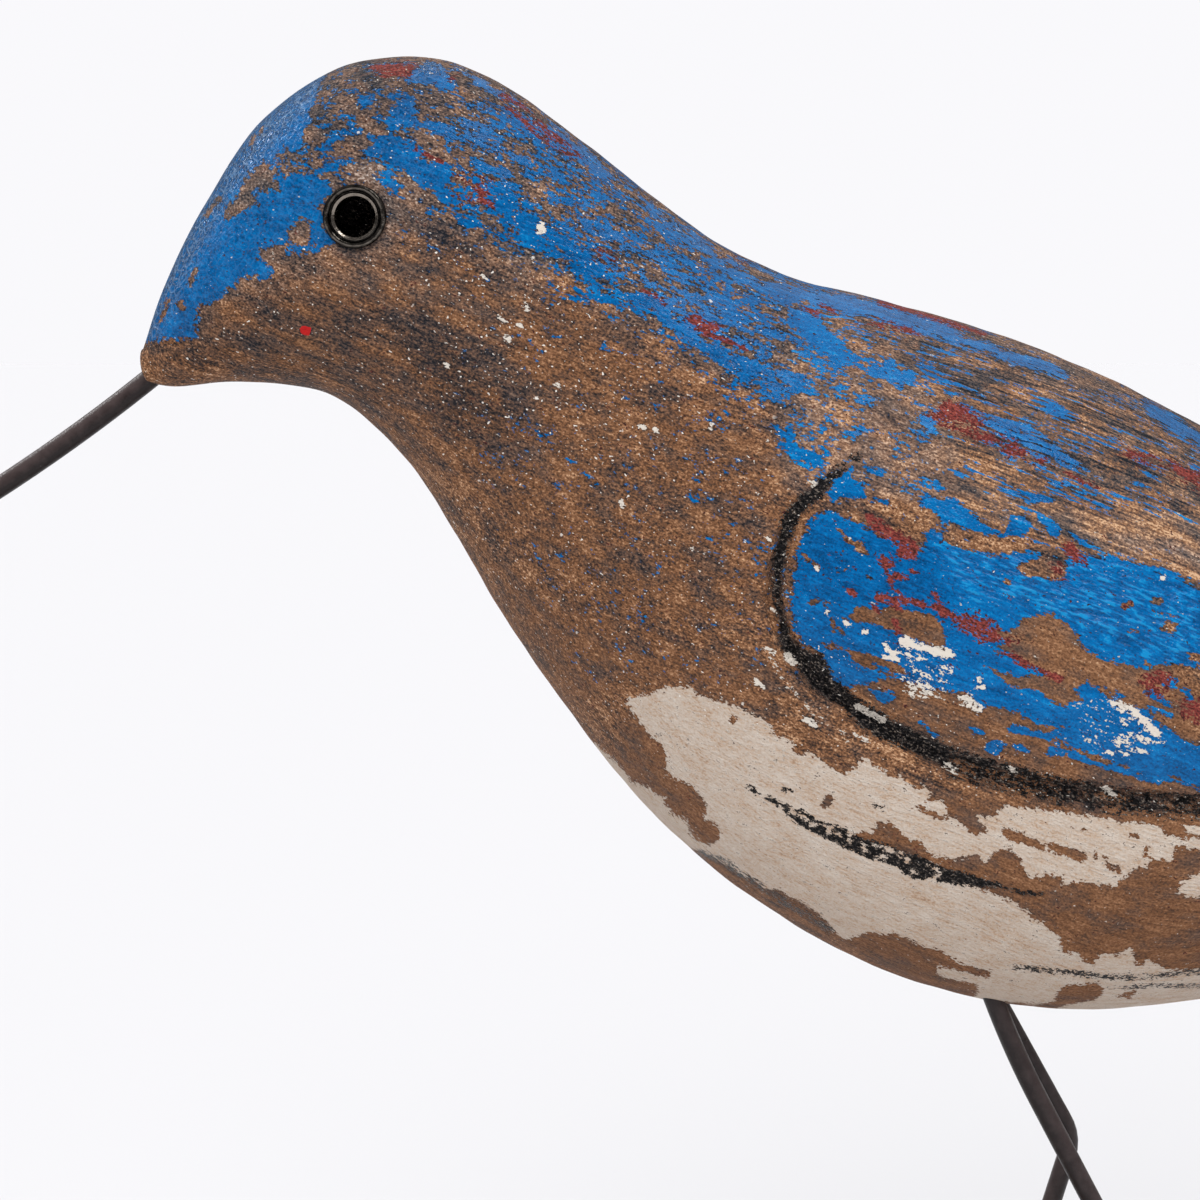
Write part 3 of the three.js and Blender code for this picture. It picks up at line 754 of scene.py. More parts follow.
WING_CHIPS = [
    [(853, 545), (860, 541), (866, 546), (870, 557), (862, 558), (855, 553)],
    [(840, 548), (846, 550), (844, 557)],
    [(866, 572), (870, 571), (875, 580), (868, 581)],
    [(806, 603), (815, 599), (825, 598), (830, 603), (826, 611), (821, 603), (812, 606)],
    [(836, 617), (850, 618), (858, 606), (866, 604), (880, 611), (893, 606), (905, 608), (932, 616),
     (940, 622), (946, 640), (944, 649), (900, 636), (880, 626)],
    [(822, 643), (835, 644), (890, 660), (903, 668), (910, 676), (895, 674), (880, 666), (855, 660),
     (845, 652), (830, 648)],
    [(944, 532), (952, 529), (962, 535), (968, 542), (985, 549), (988, 554), (972, 551), (960, 547),
     (946, 540)],
    [(1000, 538), (1015, 541), (1030, 547), (1024, 553), (1010, 551), (1000, 545)],
    [(1017, 566), (1028, 562), (1040, 556), (1060, 558), (1067, 568), (1065, 580), (1045, 578), (1030, 577),
     (1022, 572)],
    [(1160, 632), (1160, 627), (1167, 620), (1177, 623), (1176, 632)],
    [(1152, 611), (1165, 613), (1177, 618), (1170, 620), (1158, 616)],
    [(1140, 664), (1146, 656), (1154, 666), (1148, 668)],
    [(1187, 650), (1200, 655), (1215, 662), (1200, 666), (1190, 660)],
    [(1290, 640), (1330, 662), (1360, 690), (1320, 684), (1295, 662)],
    [(1440, 718), (1500, 742), (1570, 752), (1560, 768), (1490, 760), (1450, 742)],
]
WING_ISLANDS = [
    [(830, 503), (829, 492), (846, 470), (854, 463), (856, 468), (848, 478), (866, 492), (866, 498),
     (840, 498)],
    [(918, 500), (926, 494), (940, 500), (950, 496), (958, 500), (966, 510), (992, 528), (1003, 532),
     (985, 536), (955, 524), (942, 524), (936, 512), (922, 506)],
    [(1009, 524), (1012, 515), (1024, 514), (1032, 522), (1028, 534), (1015, 536), (1000, 536)],
    [(1036, 514), (1050, 518), (1062, 528), (1058, 540), (1048, 534), (1040, 524)],
    [(876, 496), (888, 500), (897, 506), (888, 507), (878, 502)],
    [(1065, 528), (1085, 538), (1100, 548), (1088, 549), (1072, 540)],
    [(1098, 685), (1106, 686), (1110, 692), (1102, 690)],
    [(1112, 690), (1122, 692), (1128, 698), (1118, 698)],
    [(1142, 690), (1150, 689), (1165, 698), (1175, 708), (1165, 706), (1150, 698)],
    [(1164, 684), (1170, 676), (1178, 678), (1176, 690), (1170, 688)],
    [(1180, 688), (1190, 690), (1196, 700), (1188, 701)],
    [(868, 690), (880, 692), (892, 690), (895, 697), (888, 705), (878, 700)],
    [(971, 728), (985, 730), (984, 734), (974, 734)],
    [(986, 745), (992, 742), (1000, 741), (1005, 745), (1003, 753), (995, 755), (988, 752)],
    [(1012, 743), (1022, 745), (1030, 752), (1018, 753)],
    [(1043, 756), (1050, 748), (1062, 747), (1068, 756), (1055, 758)],
]
blue.lay(WING, soft=8)
blue.scrape(WEDGE)
for chip in WING_CHIPS:
    blue.scrape(chip, soft=4)
for island in WING_ISLANDS:
    blue.lay(island, soft=4)
for points, width in (
    ([(1012, 728), (1030, 733), (1052, 738)], 6),
    ([(1070, 755), (1100, 765), (1130, 773), (1158, 781)], 6),
    ([(1150, 708), (1172, 716)], 4),
    ([(920, 722), (936, 736)], 4),
):
    blue.stroke(points, width)
for points, width in (
    ([(838, 528), (846, 538), (856, 547)], 3),
    ([(803, 557), (808, 560)], 5),
    ([(813, 563), (818, 567)], 4),
    ([(837, 569), (839, 573)], 4),
    ([(843, 567), (846, 571)], 4),
    ([(827, 610), (832, 621), (834, 631)], 3),
    ([(838, 628), (843, 636)], 3),
    ([(1124, 606), (1130, 604)], 6),
    ([(1153, 601), (1160, 601)], 6),
    ([(1130, 632), (1138, 632)], 4),
    ([(1006, 581), (1009, 582)], 5),
    ([(1186, 581), (1202, 590)], 4),
    ([(1050, 731), (1072, 736)], 3),
    ([(1055, 739), (1090, 756), (1130, 768)], 4),
):
    blue.scratch(points, width)
blue.fray(2.4, 2.2, 0.18, seed=11)
blue.fray(1.2, 2.0, 0.16, seed=12)
print("wing chips:", len(WING_CHIPS), "islands:", len(WING_ISLANDS))

# %% [markdown]
# ## Red
# A red undercoat shows where the blue has gone but the wood isn't bare yet, so its patches lie
# along the blue's edges.

# %% Red undercoat
red = Coat(-1)
RED_PATCHES = [
    ([(372, 67), (395, 62), (415, 66), (410, 76), (395, 75), (378, 76)], 0.1),
    ([(450, 72), (458, 76), (452, 80)], 0.5),
    ([(500, 96), (520, 104), (540, 122), (560, 138), (580, 158), (570, 158), (545, 140), (520, 120)], -0.1),
    ([(448, 186), (460, 172), (478, 172), (492, 180), (486, 192), (470, 199), (455, 196)], -0.1),
    ([(598, 252), (608, 250), (615, 256), (608, 262), (600, 260)], 0.1),
    ([(736, 259), (747, 263), (740, 267)], 0.5),
    ([(688, 322), (698, 318), (706, 324), (720, 326), (716, 332), (700, 330)], 0.1),
    ([(860, 321), (885, 321), (905, 326), (918, 334), (900, 333), (880, 328)], 0.4),
    ([(929, 412), (938, 410), (948, 402), (958, 408), (975, 410), (985, 418), (988, 425), (978, 428),
      (985, 434), (1000, 437), (1012, 442), (1030, 457), (1046, 460), (1040, 464), (1005, 455), (1000, 446),
      (968, 438), (950, 430), (935, 421)], 0.22),
    ([(1118, 452), (1130, 452), (1170, 462), (1180, 470), (1200, 475), (1260, 484), (1250, 498),
      (1200, 492), (1180, 485), (1165, 472)], 0.05),
    ([(1060, 545), (1068, 543), (1078, 552), (1086, 562), (1075, 560), (1065, 555)], 0.9),
    ([(1047, 560), (1058, 562), (1066, 570), (1065, 580), (1058, 575), (1050, 568)], 0.9),
    ([(868, 518), (878, 522), (890, 528), (900, 536), (910, 542), (918, 548), (914, 556), (902, 556),
      (898, 546), (888, 537), (875, 530)], 0.6),
    ([(878, 555), (890, 553), (897, 560), (893, 568), (886, 572), (880, 563)], 0.7),
    ([(931, 607), (940, 602), (943, 610), (955, 614), (970, 617), (975, 612), (1000, 628), (1004, 640),
      (985, 641), (955, 628)], 0.8),
    ([(1000, 628), (1015, 636), (1032, 646), (1022, 650), (1005, 646)], 0.3),
    ([(1142, 682), (1148, 674), (1165, 673), (1172, 682), (1170, 692), (1160, 696), (1150, 690)], 0.8),
    ([(1170, 696), (1185, 702), (1200, 698), (1230, 706), (1215, 722), (1200, 722), (1185, 716)], 0.35),
    ([(1300, 560), (1340, 580), (1400, 612), (1390, 622), (1340, 600), (1305, 575)], 0.2),
    ([(1380, 700), (1420, 715), (1450, 735), (1420, 735), (1390, 720)], 0.5),
]
for patch, amount in RED_PATCHES:
    red.lay(patch, amount * 0.6, soft=8)
for points, width in (
    ([(415, 148), (428, 156), (442, 163)], 4),
    ([(480, 198), (492, 206)], 5),
    ([(643, 290), (655, 296), (664, 303)], 4),
    ([(704, 333), (725, 340), (747, 349)], 4),
    ([(805, 308), (820, 315)], 4),
    ([(880, 302), (915, 312), (955, 324), (985, 335)], 5),
    ([(822, 305), (836, 313)], 4),
    ([(888, 578), (896, 576), (906, 578)], 6),
    ([(890, 580), (893, 588), (901, 595)], 5),
    ([(911, 571), (914, 573)], 5),
    ([(880, 598), (888, 596), (896, 603), (901, 609)], 8),
    ([(903, 599), (915, 602), (923, 605)], 5),
    ([(1003, 652), (1020, 662), (1038, 669)], 5),
    ([(1038, 669), (1060, 679)], 6),
    ([(850, 592), (854, 596)], 6),
    ([(874, 607), (878, 612)], 5),
    ([(895, 622), (900, 632)], 7),
    ([(1123, 607), (1130, 603)], 4),
    ([(1065, 472), (1085, 482), (1100, 489)], 4),
    ([(933, 594), (938, 597)], 4),
):
    red.stroke(points, width)
red.fray(1.6, 2.0, 0.3, seed=21)
print("red patches:", len(RED_PATCHES))

# %% [markdown]
# ## White
# The belly's white has flaked with hard, toothed edges. Its outline runs along the top of the
# white from the breast, back under its right-hand end, and along the lower tongue. Bare places
# inside it are scraped out afterwards.

# %% White on the belly
white = Coat(-1)
BELLY = [
    (627, 705), (630, 696), (650, 693), (680, 685), (690, 687), (695, 693), (735, 706), (755, 716),
    (765, 718), (770, 723), (775, 733), (793, 742), (793, 752), (803, 754), (809, 750), (820, 763),
    (845, 773), (855, 767), (863, 758), (873, 765), (885, 770), (890, 777), (900, 776), (915, 790),
    (925, 786), (930, 792), (926, 802), (938, 800), (946, 803), (947, 813), (975, 835), (985, 832),
    (982, 822), (978, 817), (990, 819), (998, 816), (1000, 808), (1010, 806), (1115, 821), (1120, 827),
    (1130, 822), (1162, 826), (1165, 835), (1178, 838), (1240, 842), (1240, 852), (1200, 850), (1178, 846),
    (1170, 862), (1150, 858), (1148, 866), (1135, 868), (1113, 889), (1108, 882), (1100, 884), (1085, 882),
    (1070, 885), (1063, 884), (1060, 876), (1045, 875), (1030, 878), (1018, 855), (1010, 848), (1000, 850),
    (992, 855), (985, 863), (978, 855), (950, 860), (940, 855), (932, 856), (922, 845), (905, 838),
    (890, 822), (880, 821), (872, 832), (860, 832), (850, 838), (866, 848), (903, 864), (930, 874),
    (960, 881), (1015, 903), (1026, 910), (1030, 919), (1040, 921), (1046, 928), (1058, 935), (1062, 953),
    (1078, 954), (1086, 962), (1093, 964), (1098, 957), (1106, 952), (1118, 957), (1131, 949), (1133, 958),
    (1139, 966), (1150, 961), (1160, 966), (1165, 972), (1262, 966), (1330, 955), (1400, 935), (1480, 905),
    (1470, 960), (1262, 1060), (1060, 1060), (900, 1030), (760, 960), (660, 880), (560, 770), (585, 738),
    (600, 748), (625, 771), (632, 783), (647, 786), (656, 793), (667, 796), (665, 804), (673, 814),
    (686, 820), (688, 829), (694, 838), (709, 846), (716, 840), (722, 832), (715, 824), (705, 818),
    (705, 805), (690, 784), (667, 774), (668, 760), (665, 750), (645, 729),
]
BELLY_BARE = [
    [(682, 846), (718, 858), (738, 872), (755, 880), (765, 888), (778, 888), (785, 895), (800, 900),
     (820, 916), (838, 936), (850, 938), (868, 932), (885, 936), (895, 933), (925, 946), (940, 950),
     (948, 957), (962, 963), (978, 969), (991, 970), (989, 978), (937, 966), (937, 974), (950, 979),
     (977, 985), (978, 991), (973, 999), (981, 1003), (968, 1030), (860, 1010), (760, 950), (690, 880)],
    [(985, 1002), (1040, 1004), (1057, 1000), (1058, 990), (1066, 985), (1098, 982), (1104, 989),
     (1100, 997), (1060, 1007), (1050, 1014), (985, 1012)],
    [(1118, 997), (1126, 990), (1138, 990), (1130, 998)],
    [(820, 806), (824, 798), (830, 795), (833, 800), (826, 808)],
    [(729, 722), (732, 716), (737, 717), (733, 723)],
    [(1001, 826), (1010, 829), (1020, 832), (1030, 838), (1042, 842), (1045, 850), (1030, 847), (1015, 842),
     (1003, 836)],
    [(1049, 850), (1050, 841), (1060, 845), (1075, 850), (1088, 852), (1085, 861), (1070, 857), (1055, 853)],
    [(915, 806), (935, 812), (950, 819), (940, 820), (922, 812)],
    [(1300, 985), (1340, 968), (1370, 962), (1350, 985)],
]
MORE_WHITE = [
    [(1178, 824), (1200, 826), (1260, 832), (1330, 836), (1400, 832), (1420, 842), (1350, 850), (1270, 846),
     (1205, 838), (1190, 833)],
    [(1180, 882), (1200, 872), (1240, 866), (1310, 868), (1380, 862), (1400, 872), (1350, 886), (1260, 898),
     (1186, 898), (1178, 892)],
    [(1480, 862), (1540, 846), (1600, 832), (1620, 838), (1580, 856), (1520, 874), (1490, 880)],
    [(1440, 832), (1500, 826), (1520, 832), (1470, 844)],
]
white.lay(BELLY, soft=5)
for patch in MORE_WHITE:
    white.lay(patch, soft=5)
for bare in BELLY_BARE:
    white.scrape(bare, soft=4)
for points, width in (
    ([(1094, 853), (1097, 859)], 5),
    ([(1104, 857), (1106, 859)], 4),
    ([(1107, 863), (1111, 869)], 5),
    ([(1116, 867), (1119, 872)], 5),
    ([(1132, 835), (1136, 836)], 6),
    ([(1146, 848), (1145, 856)], 3),
    ([(1060, 826), (1086, 830)], 2),
):
    white.scratch(points, width)
white.fray(1.6, 1.3, 0.22, seed=31)
print("bare places in the white:", len(BELLY_BARE))

# %% [markdown]
# ## Dry brush, black line and cracks
# A nearly empty white brush was dragged over the wing, and left clumps. The black was brushed
# into the wing's carved line and has sunk in. Two long checks in the belly are dark too. The
# wood inside the drilled eye holes is painted black, as painted shade, and broken white dots
# along the breast side of the carved line are a painted highlight.

# %% Dry white on the wing
dry = Coat(-1)
SCUFFS = [
    [(898, 640), (905, 636), (925, 645), (950, 648), (955, 655), (946, 660), (900, 645)],
    [(958, 694), (968, 694), (976, 702), (984, 710), (977, 713), (966, 706), (958, 700)],
    [(1108, 700), (1120, 702), (1133, 706), (1142, 714), (1152, 722), (1162, 733), (1160, 739), (1150, 734),
     (1138, 720), (1126, 711), (1112, 706)],
]
DRY_ZONES = [
    ([(895, 650), (925, 648), (950, 665), (945, 690), (920, 690), (900, 668)], -0.36),
    ([(905, 680), (925, 682), (938, 692), (925, 698), (910, 692)], 0.12),
    ([(1080, 706), (1110, 702), (1135, 728), (1145, 745), (1110, 755), (1085, 735)], -0.5),
    ([(1110, 738), (1130, 738), (1138, 750), (1120, 755)], -0.15),
]
for scuff in SCUFFS:
    dry.lay(scuff, 0.9, soft=4)
for zone, amount in DRY_ZONES:
    dry.lay(zone, amount, soft=8)
for points, width in (
    ([(884, 645), (890, 651), (897, 660)], 5),
    ([(884, 657), (892, 657)], 4),
    ([(866, 631), (864, 633)], 5),
    ([(845, 622), (849, 625)], 4),
    ([(1128, 734), (1146, 740), (1164, 743)], 3),
    ([(1112, 741), (1122, 744)], 3),
    ([(1104, 752), (1126, 756)], 2.5),
    ([(1134, 750), (1150, 752)], 2.5),
    ([(905, 654), (925, 661)], 3),
    ([(912, 668), (930, 676)], 3),
    ([(935, 668), (948, 674)], 3),
    ([(979, 680), (980, 681)], 5),
    ([(978, 687), (984, 687)], 5),
    ([(826, 612), (827, 612)], 4),
    ([(1162, 578), (1163, 578)], 6),
    ([(541, 226), (541, 230)], 9),
    ([(816, 567), (819, 570)], 4),
    ([(850, 539), (851, 542)], 3),
    ([(788, 656), (793, 662)], 8),
    ([(768, 648), (774, 652)], 4),
    ([(756, 681), (762, 687)], 5),
    ([(858, 706), (866, 713), (876, 716), (884, 720)], 6),
    ([(945, 763), (955, 770)], 5),
    ([(863, 736), (867, 739)], 4),
    ([(854, 734), (856, 736)], 4),
    ([(806, 720), (815, 726)], 6),
    ([(1105, 788), (1115, 796)], 5),
    ([(1010, 768), (1014, 770)], 4),
    ([(767, 537), (771, 541)], 3),
    ([(773, 610), (775, 612)], 4),
    ([(812, 482), (815, 485)], 4),
    ([(525, 302), (527, 309)], 4),
    ([(499, 317), (505, 321)], 4),
    ([(517, 324), (523, 326)], 3),
    ([(506, 337), (510, 340)], 4),
    ([(446, 364), (448, 367)], 4),
    ([(482, 274), (484, 277)], 4),
    ([(556, 384), (560, 388)], 4),
    ([(640, 426), (644, 428)], 4),
    ([(655, 428), (657, 431)], 4),
    ([(710, 425), (712, 427)], 4),
    ([(621, 502), (622, 505)], 5),
    ([(690, 548), (692, 550)], 3),
):
    dry.stroke(points, width, soft=2.5)
# broken white dots along the breast side of the carved line: a painted highlight
LIP_HIGHLIGHT_LINE = [(764, 646), (773, 661), (783, 679), (793, 691), (803, 703), (813, 713), (829, 723), (850, 741)]
dry.stroke(LIP_HIGHLIGHT_LINE, 3, -0.24, soft=2)
print("scuffs:", len(SCUFFS))

# %% Black in the carved line and the checks
black = Coat(-1)
LINE_FRONT = [
    (838, 467), (799, 496), (782, 520), (772, 566), (774, 600), (781, 643), (786, 655), (797, 665),
    (810, 684), (819, 693), (846, 709), (851, 717), (863, 728), (880, 739), (947, 767), (951, 748),
    (895, 721), (862, 702), (840, 685), (826, 666), (823, 655), (800, 646), (792, 638), (787, 625),
    (782, 610), (781, 590), (782, 572), (790, 540), (795, 526), (802, 514), (810, 504), (820, 497),
    (841, 473),
]
LINE_STROKES = (
    ([(858, 456), (848, 463), (838, 470)], 6, -0.05),
    ([(947, 757), (980, 768), (1012, 777), (1055, 789), (1090, 794)], 21, 0.34),
    ([(1090, 794), (1120, 799), (1160, 803), (1200, 806), (1250, 808)], 19, 0.3),
    ([(952, 772), (1000, 784), (1060, 799), (1120, 809), (1200, 815)], 9, -0.3),
    ([(1250, 808), (1282, 809), (1380, 811), (1474, 809), (1540, 800)], 16, 0.5),
    ([(1540, 800), (1611, 785), (1665, 763), (1714, 739)], 12, 0.4),
)
CRACK = [
    (781, 803), (787, 804), (792, 810), (800, 809), (816, 819), (846, 829), (860, 838), (880, 842),
    (950, 869), (1002, 884), (1002, 889), (960, 885), (940, 881), (934, 876), (926, 879), (914, 878),
    (904, 873), (900, 867), (870, 859), (798, 825), (785, 813),
]
BEADS = (
    ([(792, 812), (798, 814)], 5),
    ([(804, 817), (807, 820)], 3.5),
    ([(811, 824), (815, 825)], 3.5),
    ([(823, 824), (824, 825)], 2.5),
    ([(829, 829), (829, 830)], 7.5),
    ([(836, 833), (841, 835)], 4),
    ([(849, 835), (850, 841)], 4.5),
    ([(861, 843), (866, 850)], 3),
    ([(871, 845), (882, 848), (892, 851)], 3),
    ([(878, 856), (886, 858)], 4),
    ([(899, 853), (903, 857)], 3),
    ([(907, 860), (909, 861)], 4.5),
    ([(928, 864), (932, 868)], 3),
    ([(936, 868), (940, 874)], 3.5),
    ([(912, 871), (918, 873)], 3),
)
CHECK_STROKES = (
    ([(749, 787), (758, 793)], 3, 0.35),
    ([(768, 798), (781, 804)], 4, 0.5),
    ([(783, 788), (791, 791)], 3, 0.35),
    ([(873, 806), (884, 808)], 3, 0.3),
    ([(1000, 887), (1020, 892), (1042, 894)], 3, 0.1),
    ([(700, 853), (725, 862), (750, 880), (790, 905), (830, 930)], 5, -0.1),
    ([(1015, 967), (1060, 972), (1110, 977), (1150, 977), (1185, 972), (1240, 969)], 3, 0.1),
    ([(1110, 988), (1150, 986), (1200, 986)], 2, 0.0),
)
black.lay(LINE_FRONT, 0.8, soft=4)
for points, width, amount in LINE_STROKES:
    black.stroke(points, width, amount, soft=5)
black.lay(CRACK, 1.0, soft=2.2)
for points, width, amount in CHECK_STROKES:
    black.stroke(points, width, amount, soft=3)
for points, width in BEADS:
    black.scratch(points, width, soft=2)
    white.stroke(points, width + 3, soft=2)
# wood sunk more than 2.5 mm lies only inside the drilled eye holes; it is painted fully black there: painted
# shade in the holes
sunk_by = ((net - carved) * outwards).sum(2).ravel()
black.amount = np.where(sunk_by > 2.5, 1, black.amount)
black.fray(1.1, 1.6, 0.22, seed=41)
print("black strokes:", len(LINE_STROKES) + len(CHECK_STROKES))

# %% [markdown]
# ## Tone of the bare wood
# Bare wood isn't one brown here. The back is striped tan on the raised grain and nearly black
# between. The throat is grimy and the head greyed. The belly is an even warm brown. One number
# says how light the wood is, one how strong its texture is, one how warm it is and one how
# many pale flecks it carries. Three more say how much the coats break up in lines along the
# grain, how ridged the wing's blue is and how crinkled the forehead's; these two also set how
# strong the blue's painted highlights are. All have soft edges. The lightness also holds a
# painted highlight: a light line along the breast side of the wing's carved line.

# %% Tone, texture, warmth and flecks
# outlines that two of the numbers share
THROAT = [(400, 330), (450, 330), (520, 380), (540, 410), (500, 450), (440, 430)]
ABOVE_EYE = [(345, 165), (380, 158), (396, 182), (360, 184)]
UPPER_SIDE = [(100, 60), (480, 30), (1000, 320), (1900, 680), (1700, 760), (1240, 600), (1000, 480),
              (760, 400), (560, 280), (420, 330), (200, 330)]
OVER_WING = [(1040, 505), (1180, 520), (1300, 590), (1280, 640), (1100, 552)]
# each row: an outline, what the number becomes in it, and how wide its soft edge is
tone = tinted(0.0, [
    ([(150, 330), (300, 290), (420, 300), (560, 400), (560, 480), (400, 430), (200, 400)], -0.5, 60),
    ([(420, 280), (560, 300), (760, 460), (760, 600), (620, 640), (500, 520), (430, 400)], -0.14, 60),
    ([(410, 215), (500, 240), (520, 300), (430, 310)], -0.45, 40),
    ([(210, 300), (300, 290), (400, 300), (440, 330), (420, 380), (300, 380), (220, 350)], -0.62, 40),
    ([(310, 62), (400, 62), (470, 90), (430, 110), (400, 150), (330, 180), (300, 160)], -0.5, 40),
    (ABOVE_EYE, 0.85, 12),
    ([(800, 300), (1260, 480), (1260, 620), (1000, 520), (780, 480)], 0.68, 40),
    ([(880, 335), (1000, 370), (1180, 450), (1240, 500), (1150, 505), (1000, 450), (950, 400)], 0.2, 40),
    ([(850, 284), (1000, 330), (1140, 394), (1140, 404), (1000, 346), (850, 298)], 0.1, 10),
    ([(1000, 480), (1050, 490), (1160, 530), (1100, 520), (1040, 505)], -0.2, 16),
    (OVER_WING, 0.72, 24),
    ([(870, 395), (940, 440), (1010, 450), (990, 465), (880, 440)], 0.35, 30),
    ([(960, 585), (1100, 600), (1200, 690), (1100, 730), (980, 690)], 0.25, 20),
    ([(780, 500), (900, 535), (930, 600), (900, 700), (800, 660)], -0.35, 60),
    ([(940, 530), (1040, 548), (1200, 585), (1320, 650), (1200, 665), (1060, 612), (950, 590)], 0.4, 30),
    ([(1560, 560), (1900, 700), (1900, 860), (1640, 820)], -0.3, 90),
    (THROAT, -1.0, 50),
])
# the wood along the breast side of the carved line is painted lighter: a painted highlight
tone.stroke(LIP_HIGHLIGHT_LINE, 6, 1.3)
tone.stroke([(790, 545), (785, 575), (786, 605), (792, 628)], 4, 0.3)
stripes = tinted(0.85, [
    (UPPER_SIDE, 0.85, 40),
    ([(820, 300), (1900, 680), (1700, 740), (1260, 640), (1000, 530), (780, 470)], 0.72, 60),
    ([(640, 690), (900, 790), (1300, 830), (1560, 830), (1480, 960), (1000, 1040), (600, 800)], 0.42, 30),
    ([(420, 250), (560, 300), (790, 450), (790, 600), (620, 640), (480, 500), (200, 330)], 0.7, 40),
    ([(480, 560), (640, 640), (790, 660), (760, 720), (640, 690), (560, 700)], 0.6, 40),
    ([(790, 590), (960, 590), (1100, 610), (1200, 690), (1200, 800), (1000, 770), (860, 700)], 0.5, 20),
])
warm = tinted(0.92, [
    (UPPER_SIDE, 0.36, 60),
    ([(780, 290), (1260, 440), (1260, 640), (1000, 530), (780, 480)], 0.52, 60),
    (THROAT, 0.42, 50),
    (ABOVE_EYE, 0.45, 12),
    ([(200, 330), (290, 250), (360, 250), (440, 230), (520, 280), (440, 340), (300, 370)], 0.7, 40),
    ([(200, 310), (420, 300), (560, 470), (420, 440), (250, 400)], 0.72, 40),
    ([(310, 62), (400, 62), (470, 90), (430, 110), (330, 180), (300, 160)], 0.28, 40),
    ([(560, 560), (760, 640), (900, 760), (1300, 820), (1700, 800), (1500, 960), (1000, 1040),
      (600, 800)], 0.95, 40),
    ([(860, 690), (1050, 730), (1200, 790), (1150, 800), (950, 750)], 0.85, 20),
])
specks = tinted(0.6, [
    ([(640, 700), (900, 800), (1300, 830), (1560, 830), (1480, 960), (1000, 1040), (600, 800)], -0.4, 40),
    ([(120, 340), (200, 330), (330, 200), (340, 60), (100, 100)], -0.9, 40),
    ([(800, 280), (1900, 680), (1700, 760), (1200, 580), (860, 480), (780, 400)], -0.55, 50),
    ([(800, 540), (900, 520), (1200, 580), (1500, 740), (1200, 790), (900, 690), (800, 620)], -0.4, 30),
    ([(780, 600), (840, 700), (1000, 780), (960, 800), (800, 720)], 0.5, 20),
    ([(430, 230), (560, 280), (680, 420), (600, 480), (450, 400)], 1.0, 40),
])
lined = tinted(0.25, [
    ([(440, 240), (560, 270), (800, 440), (800, 600), (640, 640), (520, 520), (430, 380)], 0.2, 40),
    ([(100, 60), (420, 40), (420, 240), (300, 320), (120, 360)], 0.0, 40),
    ([(480, 100), (760, 260), (860, 330), (800, 430), (560, 280), (460, 200)], 0.2, 40),
    ([(820, 300), (1900, 680), (1700, 740), (1260, 640), (1000, 530), (820, 440)], 1.0, 60),
    ([(780, 320), (900, 340), (960, 420), (960, 500), (780, 480)], 0.25, 60),
    (OVER_WING, 0.6, 30),
])
ridged = tinted(0.15, [
    ([(930, 530), (1200, 590), (1600, 760), (1300, 740), (1180, 690), (1100, 640), (960, 590)], 1.0, 40),
])
wrinkled = tinted(0.0, [
    ([(100, 360), (420, 290), (470, 60), (300, 30), (60, 250)], 0.12, 40),
    ([(100, 360), (150, 340), (176, 290), (205, 235), (240, 180), (290, 125), (320, 90), (440, 70),
      (440, 30), (200, 50), (60, 250)], 1.0, 24),
])
red_dot = Coat(-1)
red_dot.stroke([(304, 330), (307, 331)], 9, soft=2.5)
print("wood tone runs from", round(tone.amount.min(), 2), "to", round(tone.amount.max(), 2))

# %% [markdown]
# ## Thin the net
# A third of a millimetre all over would be far too many faces. Each block of the net is kept
# fine, halved or left as one face, by how much the form and the coats would lose there. A
# face next to a finer block takes that block's corners into its edge, so the skin stays shut.

# %% Choose how fine each block is
TRIANGLE_LIMIT = 198000
coats = {
    "blue": blue, "red": red, "white": white, "dry": dry, "black": black, "red_dot": red_dot,
    "tone": tone, "stripes": stripes, "warm": warm, "specks": specks, "lined": lined, "ridged": ridged,
    "wrinkled": wrinkled,
}
FIELD_WEIGHTS = {"blue": 1, "red": 0.7, "white": 1, "dry": 0.8, "black": 0.8, "red_dot": 0.5, "tone": 0.8}
FORM_WEIGHT = 6
UNSEEN_SHARE = 0.6  # how much less a loss counts where the photo doesn't show the bird
shape = net.shape[:2]
watched = [(coats[name].amount.reshape(shape), weight) for name, weight in FIELD_WEIGHTS.items()]
watched += [(carved[..., k], FORM_WEIGHT) for k in range(3)]
block_rows, block_columns = (shape[0] - 1) // CELL, shape[1] // CELL
unseen = np.clip(far_side.reshape(shape) + ease(carved[..., 0], PHOTO_END + 2, PHOTO_END + 10), 0, 1)
importance = 1 - UNSEEN_SHARE * unseen[CELL // 2:-1:CELL, CELL // 2::CELL]


def corner(values, row, column):
    """One corner, or a place inside, of every block at once."""
    wide = np.concatenate([values, values[:, :CELL + 1]], 1)
    return wide[row:row + block_rows * CELL:CELL, column:column + block_columns * CELL:CELL]


def loss(values, step):
    """The most that a block loses if only every step-th row and column of it is kept."""
    worst = np.zeros((block_rows, block_columns))
    for row in range(CELL + 1):
        for column in range(CELL + 1):
            if row % step == 0 and column % step == 0:
                continue
            top = min(row // step * step, CELL - step)
            left = min(column // step * step, CELL - step)
            s, t = (row - top) / step, (column - left) / step
            guess = corner(values, top, left) * (1 - s) * (1 - t)
            guess = guess + corner(values, top + step, left) * s * (1 - t)
            guess = guess + corner(values, top, left + step) * (1 - s) * t
            guess = guess + corner(values, top + step, left + step) * s * t
            worst = np.maximum(worst, np.abs(corner(values, row, column) - guess))
    return worst


coarse_loss = sum(loss(values, 4) * weight for values, weight in watched) * importance
middle_loss = sum(loss(values, 2) * weight for values, weight in watched) * importance


